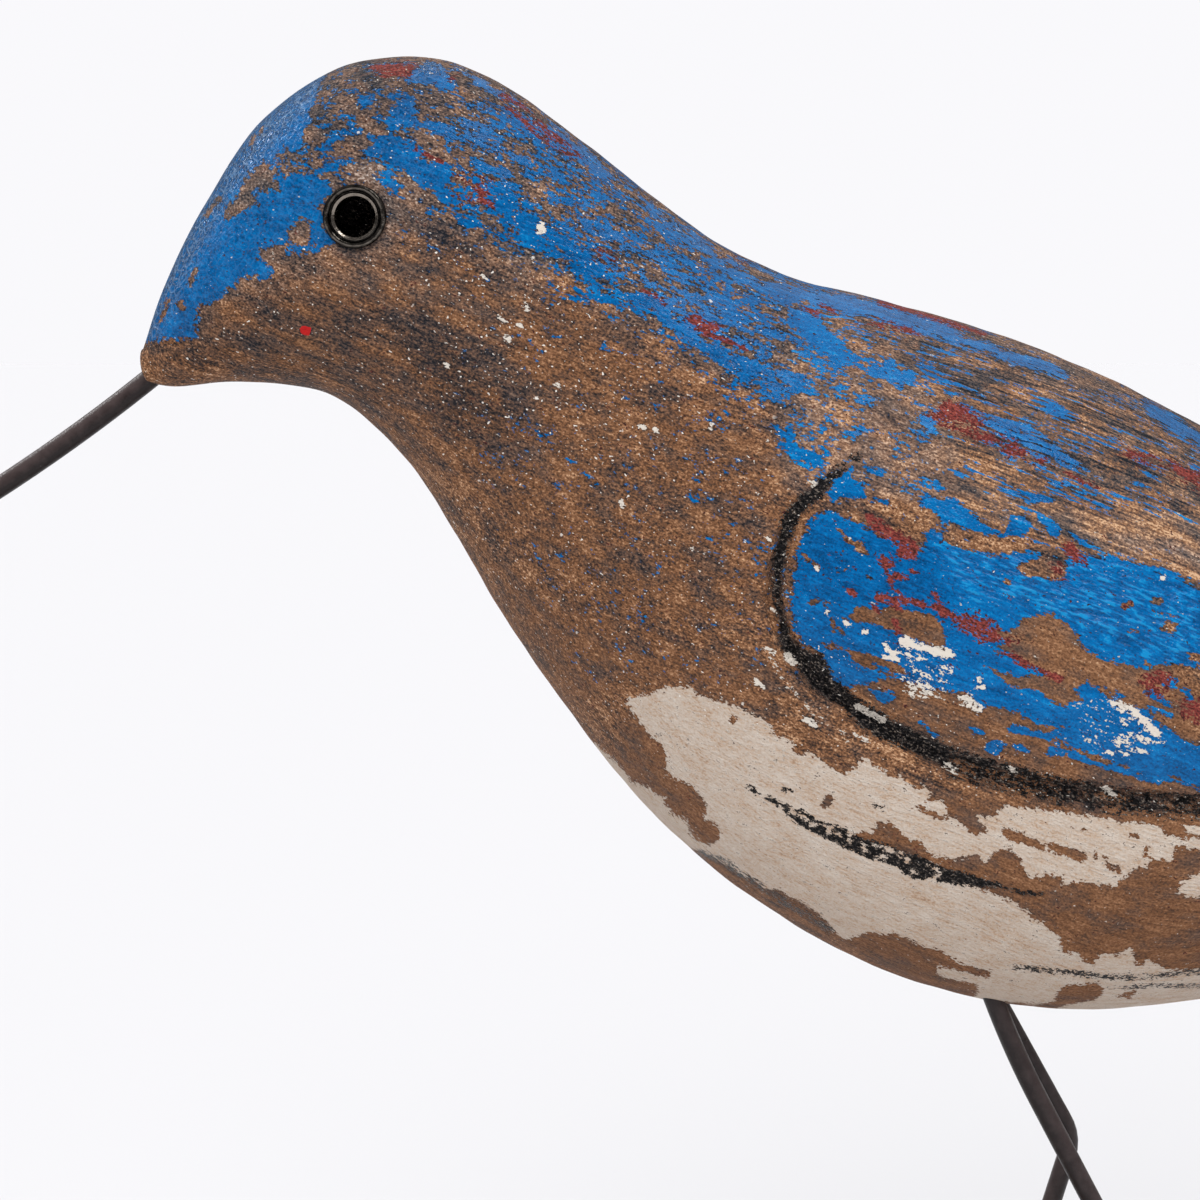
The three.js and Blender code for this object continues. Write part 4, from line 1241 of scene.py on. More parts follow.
def steps_for(allowed):
    """Whether each block keeps every corner, every second or only its own four."""
    return np.where(coarse_loss < allowed, 4, np.where(middle_loss < allowed, 2, 1))


def triangle_count(steps):
    """Triangles inside the blocks, and those that finer neighbours add."""
    inner = (2 * (CELL // steps) ** 2).sum()
    edges = 0
    for fine, other in ((steps, np.roll(steps, 1, 1)), (steps[1:], steps[:-1])):
        edges += np.abs(CELL // fine - CELL // other).sum()
    return inner + edges


low, high = 0.001, 4.0  # the allowed loss is found by halving between these
for _ in range(24):
    allowed = math.sqrt(low * high)
    if triangle_count(steps_for(allowed)) > TRIANGLE_LIMIT:
        low = allowed
    else:
        high = allowed
block_steps = steps_for(high)
print("triangles", triangle_count(block_steps), "fine, halved, single blocks:",
      [(block_steps == s).sum() for s in (1, 2, 4)])


# %% Build the skin's faces
def edge_run(start, end, step):
    """Net corners from start up to, not with, end, along one edge of a face."""
    (r0, c0), (r1, c1) = start, end
    count = max(abs(r1 - r0), abs(c1 - c0)) // step
    dr, dc = (r1 - r0) // count, (c1 - c0) // count
    return [(r0 + k * dr) * COLUMN_COUNT + (c0 + k * dc) % COLUMN_COUNT for k in range(count)]


def skin_faces():
    """The faces of every block, sewn to their neighbours."""
    faces = []
    last_row = block_rows - 1
    for r in range(block_rows):
        for c in range(block_columns):
            step = block_steps[r, c]
            left = min(step, block_steps[r, c - 1])
            right = min(step, block_steps[r, (c + 1) % block_columns])
            before = min(step, block_steps[max(r - 1, 0), c])
            after = min(step, block_steps[min(r + 1, last_row), c])
            for a in range(0, CELL, step):
                for b in range(0, CELL, step):
                    r0, c0 = r * CELL + a, c * CELL + b
                    r1, c1 = r0 + step, c0 + step
                    faces.append(
                        edge_run((r0, c0), (r1, c0), left if b == 0 else step)
                        + edge_run((r1, c0), (r1, c1), after if a + step == CELL else step)
                        + edge_run((r1, c1), (r0, c1), right if b + step == CELL else step)
                        + edge_run((r0, c1), (r0, c0), before if a == 0 else step))
    return faces


def end_fan(row, block_row, tip, outward):
    """Triangles from an end's last ring to its tip."""
    ring = []
    for c in range(block_columns):
        ring += [row * COLUMN_COUNT + c * CELL + k for k in range(0, CELL, block_steps[block_row, c])]
    pairs = zip(ring, ring[1:] + ring[:1])
    return [(tip, a, b) if outward else (a, tip, b) for a, b in pairs]


faces = skin_faces()
face_tip, tail_tip = len(flat_net), len(flat_net) + 1
faces += end_fan(0, 0, face_tip, True)
faces += end_fan(shape[0] - 1, block_rows - 1, tail_tip, False)
tips = np.array([carved[0].mean(0), carved[-1].mean(0)])
all_points = np.concatenate([flat_net, tips])
all_normals = np.concatenate([facing_of(carved).reshape(-1, 3), [[-1, 0, 0], [1, 0, 0]]])
used = np.unique(np.concatenate([np.array(face) for face in faces]))
renumber = np.full(len(all_points), -1)
renumber[used] = np.arange(len(used))
faces = [[int(renumber[k]) for k in face] for face in faces]
print("faces", len(faces), "corners", len(used))


# %% Make the carving
def new_piece(name, points, polygons):
    """A mesh piece from millimetre points, linked into the scene."""
    mesh = bpy.data.meshes.new(name)
    mesh.from_pydata([tuple(p) for p in np.asarray(points) * MM], [], [tuple(f) for f in polygons])
    mesh.update()
    mesh.shade_smooth()
    piece = bpy.data.objects.new(name, mesh)
    bpy.context.scene.collection.objects.link(piece)
    return piece


carving = new_piece("painted_carving", all_points[used], faces)
for name, coat in coats.items():
    values = np.concatenate([coat.amount, coat.amount[[0, -1]]])[used]
    attribute = carving.data.attributes.new(name, "FLOAT", "POINT")
    attribute.data.foreach_set("value", values.astype(np.float32))
grain_ends = np.concatenate([grain, grain[[0, -1]]])
attribute = carving.data.attributes.new("grain", "FLOAT_VECTOR", "POINT")
attribute.data.foreach_set("vector", grain_ends[used].astype(np.float32).ravel())
carving.data.normals_split_custom_set_from_vertices([tuple(n) for n in all_normals[used]])
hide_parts("body")
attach(carving, "root")
print("carving:", len(carving.data.polygons), "faces")


# %% [markdown]
# ## Finishes as node trees
# Every finish is made of nodes, so it has no picture files. A small helper keeps them short to
# write: it makes a node, fills its sockets with numbers or links, and gives a few ready-made
# things, such as ripples of noise centred on 0 and a crisp edge from a soft value.

# %% A helper for finishes
NOISE_GAIN = 12  # a noise node stays close to its middle, so it is stretched to about 1 high
DOT_POWER = 3  # most dots are small, and a few are nearly full size


class Finish:
    """A material being made, with short names for its nodes."""

    def __init__(self, name):
        self.material = bpy.data.materials.new(name)
        self.material.use_nodes = True
        self.tree = self.material.node_tree
        self.tree.nodes.clear()

    def node(self, kind, inputs, **settings):
        return add_node(self.tree, kind, inputs, **settings)

    def calc(self, operation, *values, **settings):
        return self.node("Math", dict(enumerate(values)), operation=operation, **settings).outputs[0]

    def vector(self, operation, *values):
        return self.node("VectorMath", dict(enumerate(values)), operation=operation)

    def times(self, a, b):
        return self.calc("MULTIPLY", a, b)

    def summed(self, start, *parts):
        """A start with other values added to it, each a value and its weight."""
        for value, weight in parts:
            start = self.calc("MULTIPLY_ADD", value, weight, start)
        return start

    def mapped(self, value, start, end, first=0.0, last=1.0):
        """From the first number to the last while the value goes from start to end."""
        return self.node("MapRange", {0: value, 1: start, 2: end, 3: first, 4: last}).outputs[0]

    def clamped(self, value):
        return self.node("Clamp", {0: value}).outputs[0]

    def crisp(self, value, sharp=6):
        """0 to 1 across a narrow edge where the value is 0."""
        return self.calc("MULTIPLY_ADD", value, sharp, 0.5, use_clamp=True)

    def stored(self, name, kind="Fac"):
        """What the mesh's corners say."""
        return self.node("Attribute", {}, attribute_name=name).outputs[kind]

    def in_mm(self):
        """The piece's own place in millimetres."""
        place = self.node("TexCoord", {}).outputs["Object"]
        return self.vector("MULTIPLY", place, (1 / MM,) * 3).outputs[0]

    def scaled(self, vector, size, stretch=1, shift=0.0):
        scale = (1 / (size * stretch), 1 / size, 1 / size)
        return self.vector("MULTIPLY_ADD", vector, scale, (shift, shift * 1.7, shift * 0.6)).outputs[0]

    def ripple(self, vector, size, stretch=1, detail=2, shift=0.0, rough=0.5):
        """Noise centred on 0, about 1 high, with features of this size in millimetres."""
        where = self.scaled(vector, size, stretch, shift)
        noise = self.node("TexNoise", {"Vector": where, "Scale": 1.0, "Detail": detail, "Roughness": rough})
        return self.calc("MULTIPLY_ADD", noise.outputs["Fac"], NOISE_GAIN, -NOISE_GAIN / 2)

    def dots(self, vector, cell, radius, shift=0.0):
        """Round spots of random size, one at most in each cell; above 0 is inside a spot."""
        where = self.scaled(vector, cell, 1, shift)
        made = self.node("TexVoronoi", {"Vector": where, "Scale": 1.0, "Randomness": 1.0})
        chance = self.node("SeparateColor", {0: made.outputs["Color"]}).outputs[0]
        size = self.times(self.calc("POWER", chance, DOT_POWER), radius / cell)
        return self.calc("SUBTRACT", size, made.outputs["Distance"])

    def blend(self, share, under, over):
        """One colour over another; each is a link or three numbers."""
        under, over = (c if is_link(c) else (*c, 1) for c in (under, over))
        return self.node("Mix", {0: share, 6: under, 7: over}, data_type="RGBA").outputs[2]

    def mix_value(self, share, under, over):
        return self.node("Mix", {0: share, 2: under, 3: over}, data_type="FLOAT").outputs[0]

    def ramp(self, value, stops):
        """Colours along a value, from (place, colour) stops."""
        made = self.node("ValToRGB", {0: value})
        band = made.color_ramp.elements
        while len(band) < len(stops):
            band.new(0.5)
        for element, (place, colour) in zip(band, stops):
            element.position = place
            element.color = (*colour, 1)
        return made.outputs["Color"]

    def finish(self, colour, roughness, height, height_mm, **constants):
        """Closes the tree; a height of 1 stands for this many millimetres of relief."""
        bump = self.node("Bump", {"Height": height, "Strength": 1.0, "Distance": height_mm * MM})
        inputs = {"Base Color": colour, "Roughness": roughness, "Normal": bump.outputs[0], **constants}
        shader = self.node("BsdfPrincipled", inputs)
        self.node("OutputMaterial", {0: shader.outputs[0]})
        return self.material


print("short names:", ", ".join(name for name in vars(Finish) if not name.startswith("_")))

# %% [markdown]
# ## Worn paint on old wood
# The finish is built from the wood up, as the bird was. Wood colour follows fibres stretched
# along the grain, a fine grit and slow patches. Red, blue, black and white each cover what is
# under them where their number plus ragged noise is above 0. The same noise darkens the wood
# just outside the blue, where grime is held. The blue is painted paler on its ridge tops and on
# the forehead's crinkle crests: painted highlights. The black carries brown-grey painted glints.

# %% The noises
NOISES = {  # size in millimetres, stretch along the grain, detail, shift, roughness
    "grit": (0.27, 1.4, 1, 0, 0.6),
    "chip": (0.55, 1.7, 3, 13, 0.65),
    "lobe": (1.5, 1.6, 1, 31),
    "fibre": (0.4, 9, 2, 4),
    "stripe": (0.62, 20, 1, 23),
    "patch": (2.6, 2.2, 1, 2),
    "peel": (0.52, 4, 1, 53, 0.45),
    "brushed": (1.9, 3.2, 1, 61),
    "fleck": (0.34, 1.3, 0, 40),
}
CRACKLE = (1.2, 0.8, 71)  # size, stretch and shift of the crinkled paint's net
CRACKLE_WIDTH = 0.26
paint = Finish("worn_paint")
g = paint.stored("grain", "Vector")
grit, chip, lobe, fibre, stripe, patch, peel, brushed, fleck = (
    paint.ripple(g, *how) for how in NOISES.values())
crackle_place = paint.vector("ADD", paint.scaled(g, *CRACKLE), paint.times(chip, 0.1)).outputs[0]
crackle = paint.node("TexVoronoi", {"Vector": crackle_place, "Scale": 1.0}, feature="DISTANCE_TO_EDGE")
wrinkle = smooth_share(paint.tree, crackle.outputs["Distance"], (0.0, CRACKLE_WIDTH), 1.0, 0.0)
wrinkle_crest = paint.mapped(wrinkle, 0.6, 0.95, 0.0, 0.9)
print("noises of the finish:", ", ".join(NOISES))

# %% Ragged edges for the coats
# each sum below is a coat's own number with weighted noises added, and a share from 0 to 1
coat = {name: paint.stored(name) for name in coats}
edge_room = paint.summed(1.0, (paint.calc("ABSOLUTE", coat["blue"]), -0.5))
chip_part = paint.times(chip, paint.summed(0.36, (coat["lined"], -0.2)))
lobe_part = paint.times(lobe, paint.summed(0.2, (coat["lined"], -0.2)))
fibre_part = paint.times(fibre, paint.summed(0.08, (coat["lined"], 0.22)))
stripe_part = paint.times(paint.times(stripe, 0.34), coat["lined"])
ragged = paint.summed(chip_part, (lobe_part, 1), (fibre_part, 1), (stripe_part, 1), (grit, 0.1))
blue_value = paint.summed(coat["blue"], (ragged, edge_room))
blue_share = paint.crisp(blue_value, 7)
red_value = paint.summed(coat["red"], (chip, -0.34), (fibre, 0.14), (grit, -0.2), (lobe, -0.12))
red_share = paint.crisp(red_value, 4)
white_share = paint.crisp(paint.summed(coat["white"], (chip, 0.3), (grit, 0.1)), 7)
dry_share = paint.crisp(paint.summed(coat["dry"], (chip, 0.3), (grit, 0.16), (fibre, 0.14)), 5)
black_room = paint.summed(1.0, (paint.calc("ABSOLUTE", coat["black"]), -0.66))
black_noise = paint.summed(0.12, (chip, -0.6), (grit, 0.5))
black_share = paint.crisp(paint.summed(coat["black"], (black_noise, black_room)), 6)
dot_share = paint.crisp(paint.summed(coat["red_dot"], (grit, 0.1)), 6)
print("numbers read from the mesh:", len(coat))

# %% The wood under the paint
WOOD_TONES = [
    (0.0, (0.014, 0.012, 0.012)), (0.16, (0.045, 0.031, 0.025)), (0.32, (0.095, 0.056, 0.038)),
    (0.5, (0.165, 0.092, 0.056)), (0.68, (0.255, 0.152, 0.096)), (0.84, (0.39, 0.26, 0.175)),
    (1.0, (0.6, 0.46, 0.35)),
]
COOL_TINT = (0.74, 1.04, 1.5)
WARM_TINT = (1.06, 0.86, 0.68)
held_grime = paint.mapped(blue_value, -0.5, -0.08, 0.0, -0.5)
wood_noise = paint.summed(
    held_grime, (grit, 0.42), (chip, -0.22), (fibre_part, 1.7), (stripe_part, 1.6), (patch, 0.2))
wood_value = paint.summed(paint.times(coat["tone"], 0.6), (wood_noise, coat["stripes"]))
wood_colour = paint.ramp(paint.summed(0.5, (wood_value, 0.36)), WOOD_TONES)
high_lines = paint.times(wood_value, coat["lined"])
warmth = paint.summed(coat["warm"], (high_lines, 0.5), (patch, 0.12), (chip, -0.06))
wood_tint = paint.blend(paint.clamped(warmth), COOL_TINT, WARM_TINT)
wood_colour = paint.vector("MULTIPLY", wood_colour, wood_tint).outputs[0]
print("wood tones:", len(WOOD_TONES))

# %% Colours of the coats
BLUE_TONES = [
    (0.0, (0.0, 0.018, 0.065)), (0.3, (0.0, 0.057, 0.18)), (0.55, (0.0, 0.102, 0.31)),
    (0.8, (0.0, 0.15, 0.415)), (1.0, (0.006, 0.235, 0.53)),
]
RED_TONES = [(0.0, (0.04, 0.014, 0.013)), (0.5, (0.19, 0.035, 0.03)), (1.0, (0.36, 0.085, 0.06))]
WHITE_TONES = [
    (0.0, (0.37, 0.235, 0.15)), (0.3, (0.5, 0.37, 0.275)), (0.5, (0.53, 0.43, 0.35)),
    (1.0, (0.63, 0.56, 0.49)),
]
# the black's upper tones are brown-grey specks on the gritty black: painted glints
BLACK_AND_GLINT_TONES = [
    (0.0, (0.002, 0.002, 0.002)), (0.55, (0.011, 0.01, 0.011)), (0.75, (0.05, 0.043, 0.04)),
    (1.0, (0.2, 0.16, 0.13)),
]
WRINKLE_HIGHLIGHT_BLUE = (0.42, 0.56, 0.68)
PIT = (0.085, 0.05, 0.033)
WHITE_FRESH = (0.66, 0.6, 0.53)
SPLASH_WHITE = (0.78, 0.73, 0.67)
DOT_RED = (0.5, 0.015, 0.015)
# the blue is painted paler on the tops of its ridges, most where the wing is ridged: a painted highlight
ridge_room = paint.summed(0.2, (coat["ridged"], 0.9))
painted_ridge_highlight = paint.times(paint.calc("MAXIMUM", peel, -0.4), ridge_room)
blue_lift = paint.summed(
    painted_ridge_highlight, (brushed, 0.22), (grit, 0.35), (fibre, 0.2), (coat["tone"], 0.9), (coat["wrinkled"], -0.2))
blue_colour = paint.ramp(paint.summed(0.53, (blue_lift, 0.2)), BLUE_TONES)
# the crests of the forehead's crinkles are painted paler blue: a painted highlight
painted_wrinkle_highlight = paint.times(wrinkle_crest, paint.times(coat["wrinkled"], 0.3))
blue_colour = paint.blend(paint.clamped(painted_wrinkle_highlight), blue_colour, WRINKLE_HIGHLIGHT_BLUE)
red_colour = paint.ramp(paint.summed(0.5, (grit, 0.18), (chip, 0.14)), RED_TONES)
white_tone = paint.summed(0.54, (fibre, 0.08), (grit, 0.09), (chip, 0.04), (lobe, 0.04), (patch, 0.05))
pit_value = paint.summed(-2.75, (chip, 0.7), (lobe, 0.4), (grit, 0.8), (fibre, 0.3))
pit_share = paint.times(paint.crisp(pit_value, 4), 0.85)
white_colour = paint.blend(pit_share, paint.ramp(white_tone, WHITE_TONES), PIT)
black_and_glint_colour = paint.ramp(paint.summed(0.45, (grit, 0.22), (chip, 0.14)), BLACK_AND_GLINT_TONES)
speck_share = paint.crisp(paint.summed(-4.4, (fleck, 1), (grit, 0.3), (coat["specks"], 1)), 3)
splash_value = paint.summed(-0.03, (paint.dots(g, 2.5, 0.34, 19), 1), (chip, 0.03), (grit, 0.012))
splash_room = paint.crisp(paint.summed(-0.55, (coat["specks"], 1)), 4)
splash_share = paint.times(paint.crisp(splash_value, 22), splash_room)

colour = wood_colour
for share, over in (
    (blue_share, blue_colour),
    (red_share, red_colour),
    (white_share, white_colour),
    (black_share, black_and_glint_colour),
    (dry_share, WHITE_FRESH),
    (paint.calc("MAXIMUM", speck_share, splash_share), SPLASH_WHITE),
    (dot_share, DOT_RED),
):
    colour = paint.blend(share, colour, over)
print("coats from the wood up: blue, red, white, black, dry white, specks, red dot")

# %% Gloss and relief of the coats
# the relief is in millimetres
blue_seen = paint.times(blue_share, paint.calc("SUBTRACT", 1.0, red_share))
covered = paint.calc("MAXIMUM", blue_seen, white_share)
wood_relief = paint.summed(0.0, (grit, 0.016), (fibre, 0.016), (chip, -0.012))
ridges = paint.summed(
    0.0, (paint.times(peel, coat["ridged"]), 0.035), (paint.times(brushed, coat["ridged"]), 0.06),
    (paint.times(wrinkle, coat["wrinkled"]), 0.32))
relief = paint.summed(
    paint.times(wood_relief, paint.summed(1.0, (covered, -0.7))),
    (paint.times(wood_relief, white_share), 0.6), (blue_seen, 0.05), (ridges, blue_seen),
    (paint.times(grit, black_share), 0.05), (white_share, 0.06), (dry_share, 0.08), (speck_share, 0.05))
blue_gloss = paint.summed(0.27, (coat["wrinkled"], -0.09))
gloss = paint.mix_value(blue_seen, 0.75, blue_gloss)
gloss = paint.mix_value(black_share, gloss, 0.35)
worn_paint = paint.finish(colour, gloss, relief, 1, **{"Specular IOR Level": 0.17})
carving.data.materials.append(worn_paint)
print("worn paint has", len(paint.tree.nodes), "nodes")

# %% [markdown]
# ## Wires
# The legs and the bill are one gauge of steel wire, blackened and slightly shiny. A wire is a
# round section swept along a path, with many more sides than the frame's own, and with slightly
# rounded ends. It simply runs on into the wood, where it is driven in tight.

# %% Sweep a wire along a path
WIRE_RADIUS = 1.35
WIRE_SIDES = 28
WIRE_STEP = 1.2
BEND_SAMPLES = 13
# a rounded end's rings: size, and how far beyond the path, as shares of the radius
END_RINGS = ((0.55, 0.32), (0.86, 0.2), (0.98, 0.08))
WIRE_END = END_RINGS[0][1]


def bent_path(points, reaches):
    """Corners joined by straight runs, with a soft bend at each."""
    path = [points[0]]
    for before, turn, after, reach in zip(points, points[1:], points[2:], reaches):
        into = turn + (before - turn) / np.linalg.norm(before - turn) * reach
        out = turn + (after - turn) / np.linalg.norm(after - turn) * reach
        for t in np.linspace(0, 1, BEND_SAMPLES):
            path.append(into * (1 - t) ** 2 + turn * 2 * t * (1 - t) + out * t * t)
    return np.array([*path, points[-1]])


def evenly(path, step):
    """The same path with its points a step apart."""
    reach = reach_along(path)
    stops = np.linspace(0, reach[-1], int(reach[-1] / step) + 1)
    return np.stack([np.interp(stops, reach, path[:, k]) for k in range(3)], 1)


def joined(rings, sides):
    """The four-cornered faces between rings of corners that follow one another."""
    faces = []
    for i in range(rings - 1):
        for k in range(sides):
            n = (k + 1) % sides
            faces.append((i * sides + k, i * sides + n, (i + 1) * sides + n, (i + 1) * sides + k))
    return faces


def tube(name, path):
    """A round wire along a path, closed at both ends. Rings at the ends are drawn in."""
    tangents = np.gradient(path, axis=0)
    tangents /= np.linalg.norm(tangents, axis=1, keepdims=True)
    across = np.cross(tangents, [0, 1, 0])
    across /= np.linalg.norm(across, axis=1, keepdims=True)
    other = np.cross(tangents, across)
    turn = np.linspace(0, 2 * math.pi, WIRE_SIDES, endpoint=False)
    last = len(path) - 1
    stops = [(0, size, reach) for size, reach in END_RINGS]
    stops += [(at, 1, 0) for at in range(len(path))]
    stops += [(last, size, -reach) for size, reach in reversed(END_RINGS)]
    rings = []
    for at, size, reach in stops:
        circle = np.outer(np.cos(turn), across[at]) + np.outer(np.sin(turn), other[at])
        rings.append(path[at] + circle * WIRE_RADIUS * size - tangents[at] * reach * WIRE_RADIUS)
    faces = joined(len(rings), WIRE_SIDES)
    faces.append(tuple(reversed(range(WIRE_SIDES))))
    faces.append(tuple(range((len(rings) - 1) * WIRE_SIDES, len(rings) * WIRE_SIDES)))
    return new_piece(name, np.concatenate(rings), faces)


print("a wire is", WIRE_SIDES, "sided")

# %% Legs
LEG_HEIGHT = 93
HIP_SPREAD, FOOT_SPREAD = 20, 29
IN_BODY, IN_BLOCK = 16, 15
LEGS = {
    "leg_left": dict(side=-1, hip=-0.5, turns=[(1.4, 0.054), (23.5, 0.505)], reaches=[8, 3], foot=17.5),
    "leg_right": dict(side=1, hip=3, turns=[(16.5, 0.255)], reaches=[3], foot=-4),
}


def leg_path(side, hip, turns, reaches, foot):
    """A leg from inside the belly to inside the block; turns are (x, share of the way down)."""
    def point(x, down):
        spread = HIP_SPREAD + (FOOT_SPREAD - HIP_SPREAD) * down
        return np.array([x, side * spread / 2, BELLY_HEIGHT - down * LEG_HEIGHT])

    knees = [point(x, down) for x, down in turns]
    top, bottom = point(hip, 0), point(foot, 1)
    top = top + (top - knees[0]) / np.linalg.norm(top - knees[0]) * IN_BODY
    bottom = bottom + (bottom - knees[-1]) / np.linalg.norm(bottom - knees[-1]) * IN_BLOCK
    return bent_path([top, *knees, bottom], reaches)


wires = {name: tube(name + "_wire", evenly(leg_path(**leg), WIRE_STEP)) for name, leg in LEGS.items()}
leg_ends = [min(v.co.z for v in wire.data.vertices) / MM for wire in wires.values()]
print("legs reach down to", [round(end, 1) for end in leg_ends])

# %% The bill
BILL_ROOT = np.array([-47.2, 36.0])
BILL_LENGTH, BILL_DEPTH, BILL_RADIUS = 60, 11, 240
BILL_PITCH = math.radians(38.5)
BILL_SAMPLES = 41


def on_bill_circle(angle):
    return np.array([math.sin(angle), 0, -math.cos(angle)]) * BILL_RADIUS


bill_root = np.array([BILL_ROOT[0] * SHARE, 0, BILL_ROOT[1] * SHARE + BELLY_HEIGHT])
bill_centre = bill_root - on_bill_circle(BILL_PITCH)
bill_places = np.linspace(0, BILL_LENGTH - WIRE_END * WIRE_RADIUS, BILL_SAMPLES)
bill_out = [on_bill_circle(BILL_PITCH - s / BILL_RADIUS) + bill_centre for s in bill_places]
bill_inwards = np.array([math.cos(BILL_PITCH), 0, math.sin(BILL_PITCH)])
bill_path = np.array([bill_root + bill_inwards * BILL_DEPTH, *bill_out])
wires["bill"] = tube("bill_wire", evenly(bill_path, WIRE_STEP))
for node, piece in wires.items():
    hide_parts(node)
    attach(piece, "root")
print("the bill's tip is at", bill_out[-1].round(1))

# %% [markdown]
# ## The wire's finish
# The wire is brown-black, with a soft sheen, a thin uneven film and a few pale dots of paint.
# It is painted lighter on whatever faces up and darker below: painted light and shade.

# %% Blackened wire
# the wire's colours below and on top: painted shade and painted light
WIRE_SHADED_UNDERSIDE = (0.011, 0.0065, 0.0065)
WIRE_LIT_TOP = (0.058, 0.042, 0.041)
WIRE_DOTS = (0.3, 0.28, 0.27)
TOP_LIGHT_FROM, TOP_LIGHT_FULL = -0.25, 0.45  # how far up the metal faces where the painted top light starts and is full
steel = Finish("blackened_wire")
steel_mm = steel.in_mm()
film = steel.ripple(steel_mm, 1.4, detail=3)
steel_grit = steel.ripple(steel_mm, 0.3, detail=2, shift=6)
# the wire is painted lighter where it faces up and darker below: painted light and shade
facing_up = steel.node("SeparateXYZ", {0: steel.node("TexCoord", {}).outputs["Normal"]}).outputs["Z"]
top_light = steel.summed(steel.mapped(facing_up, TOP_LIGHT_FROM, TOP_LIGHT_FULL), (film, 0.1))
steel_colour = steel.blend(top_light, WIRE_SHADED_UNDERSIDE, WIRE_LIT_TOP)
dot_seen = steel.crisp(steel.dots(steel_mm, 4, 0.42, shift=8), 20)
steel_colour = steel.blend(dot_seen, steel_colour, WIRE_DOTS)
steel_gloss = steel.summed(0.38, (film, 0.03))
steel_relief = steel.summed(0.0, (steel_grit, 0.35), (film, 0.5))
blackened = steel.finish(steel_colour, steel_gloss, steel_relief, 0.012, **{"Specular IOR Level": 0.3})
for piece in wires.values():
    piece.data.materials.append(blackened)
print("wire finish has", len(steel.tree.nodes), "nodes")

# %% [markdown]
# ## Eyelet eyes
# Each eye is a stock metal eyelet: a rolled rim round an open barrel, blackened, with the metal
# showing on the rim's high lines. Its shape is a section turned once round, which is how the
# real one is pressed, with a second small roll where the barrel meets the rim.

# %% Turn the eyelets
EYELET_HOLE = 5
EYELET_RIM = 8
EYELET_BARREL = 5
EYELET_WALL = 0.35
EYELET_TURNS = 96
EYELET_LIP = [  # the small roll inside the rim: out from the hole, and up
    (0.64, 0.40), (0.54, 0.42), (0.46, 0.48), (0.40, 0.50), (0.34, 0.48), (0.28, 0.43), (0.2, 0.36),
    (0.12, 0.3), (0.05, 0.24), (0.01, 0.18), (0.0, 0.1),
]
RIM_HALF, RIM_RISE = 0.42, 0.48  # the rim's roll: half its width, and how far it rises
RIM_FOOT = 0.02


def eyelet_section():
    """Radius and height, once round the metal."""
    inner, outer = EYELET_HOLE / 2, EYELET_RIM / 2
    section = [(inner, -EYELET_BARREL), (inner + EYELET_WALL, -EYELET_BARREL)]
    section += [(inner + EYELET_WALL, RIM_FOOT), (outer - 0.25, RIM_FOOT)]
    for t in np.linspace(-0.6, 3.0, 20):
        section.append((outer - RIM_HALF + RIM_HALF * math.cos(t), RIM_HALF + RIM_RISE * math.sin(t)))
    section += [(inner + across, up) for across, up in EYELET_LIP]
    return section


def rubbed_at(radius, height):
    """How bare the metal is worn: most on the inner lip, some on top of the roll."""
    lip = (radius < EYELET_HOLE / 2 + 0.45) * (height > 0.15)
    crest = ease(height, 0.8, 0.9) * 0.45
    return float(np.maximum(lip, crest))


def eyelet(name, seat, out):
    """An eyelet's section turned once round, on its seat in the cheek."""
    section = eyelet_section()
    turn = np.linspace(0, 2 * math.pi, EYELET_TURNS, endpoint=False)
    side = np.cross(out, [0, 0, 1])
    side /= np.linalg.norm(side)
    up = np.cross(side, out)
    points, faces, count = [], [], len(section)
    for angle in turn:
        ray = side * math.cos(angle) + up * math.sin(angle)
        points += [seat + ray * radius + out * height for radius, height in section]
    for k in range(EYELET_TURNS):
        n = (k + 1) % EYELET_TURNS
        for i in range(count):
            j = (i + 1) % count
            faces.append((k * count + i, k * count + j, n * count + j, n * count + i))
    made = new_piece(name, points, faces)
    rubbed = np.tile([rubbed_at(*corner) for corner in section], EYELET_TURNS)
    made.data.attributes.new("rubbed", "FLOAT", "POINT").data.foreach_set("value", rubbed.astype(np.float32))
    return made


eyelets = {
    "eye_left": eyelet("left_eyelet", *eye_seats[-1]),
    "eye_right": eyelet("right_eyelet", *eye_seats[1]),
}
for node, piece in eyelets.items():
    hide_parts(node)
    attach(piece, "root")
print("eyelet section has", len(eyelet_section()), "points")

# %% Blackened brass
BRASS_DARK = (0.02, 0.018, 0.016)
BRASS_BARE = (0.27, 0.235, 0.2)
brass = Finish("blackened_brass")
rub = brass.ripple(brass.in_mm(), 0.7, detail=3)
bare = brass.clamped(brass.summed(brass.stored("rubbed"), (rub, 0.12)))
brass_gloss = brass.summed(0.2, (rub, 0.04))
brass_colour = brass.blend(bare, BRASS_DARK, BRASS_BARE)
blackened_brass = brass.finish(brass_colour, brass_gloss, rub, 0.006, Metallic=1.0)
for piece in eyelets.values():
    piece.data.materials.append(blackened_brass)
print("eyelet finish has", len(brass.tree.nodes), "nodes")

# %% [markdown]
# ## The sawn block
# The photo doesn't show what the legs stand in. A plain offcut of old board suits the bird. It
# is a box with its corners taken off, remeshed to an even net, then furrowed along the grain.

# %% Shape the block
BLOCK_SIZE = (130, 78, 26)
BLOCK_CORNER = 7
BLOCK_EDGE = 2
BLOCK_NET = 1.1
BOARD_INSET, FURROW_DEPTH, DENT_DEPTH = 0.03, 0.07, 0.12
FOOT_HEIGHT = 0.5  # the lowest part stays flat, to stand on


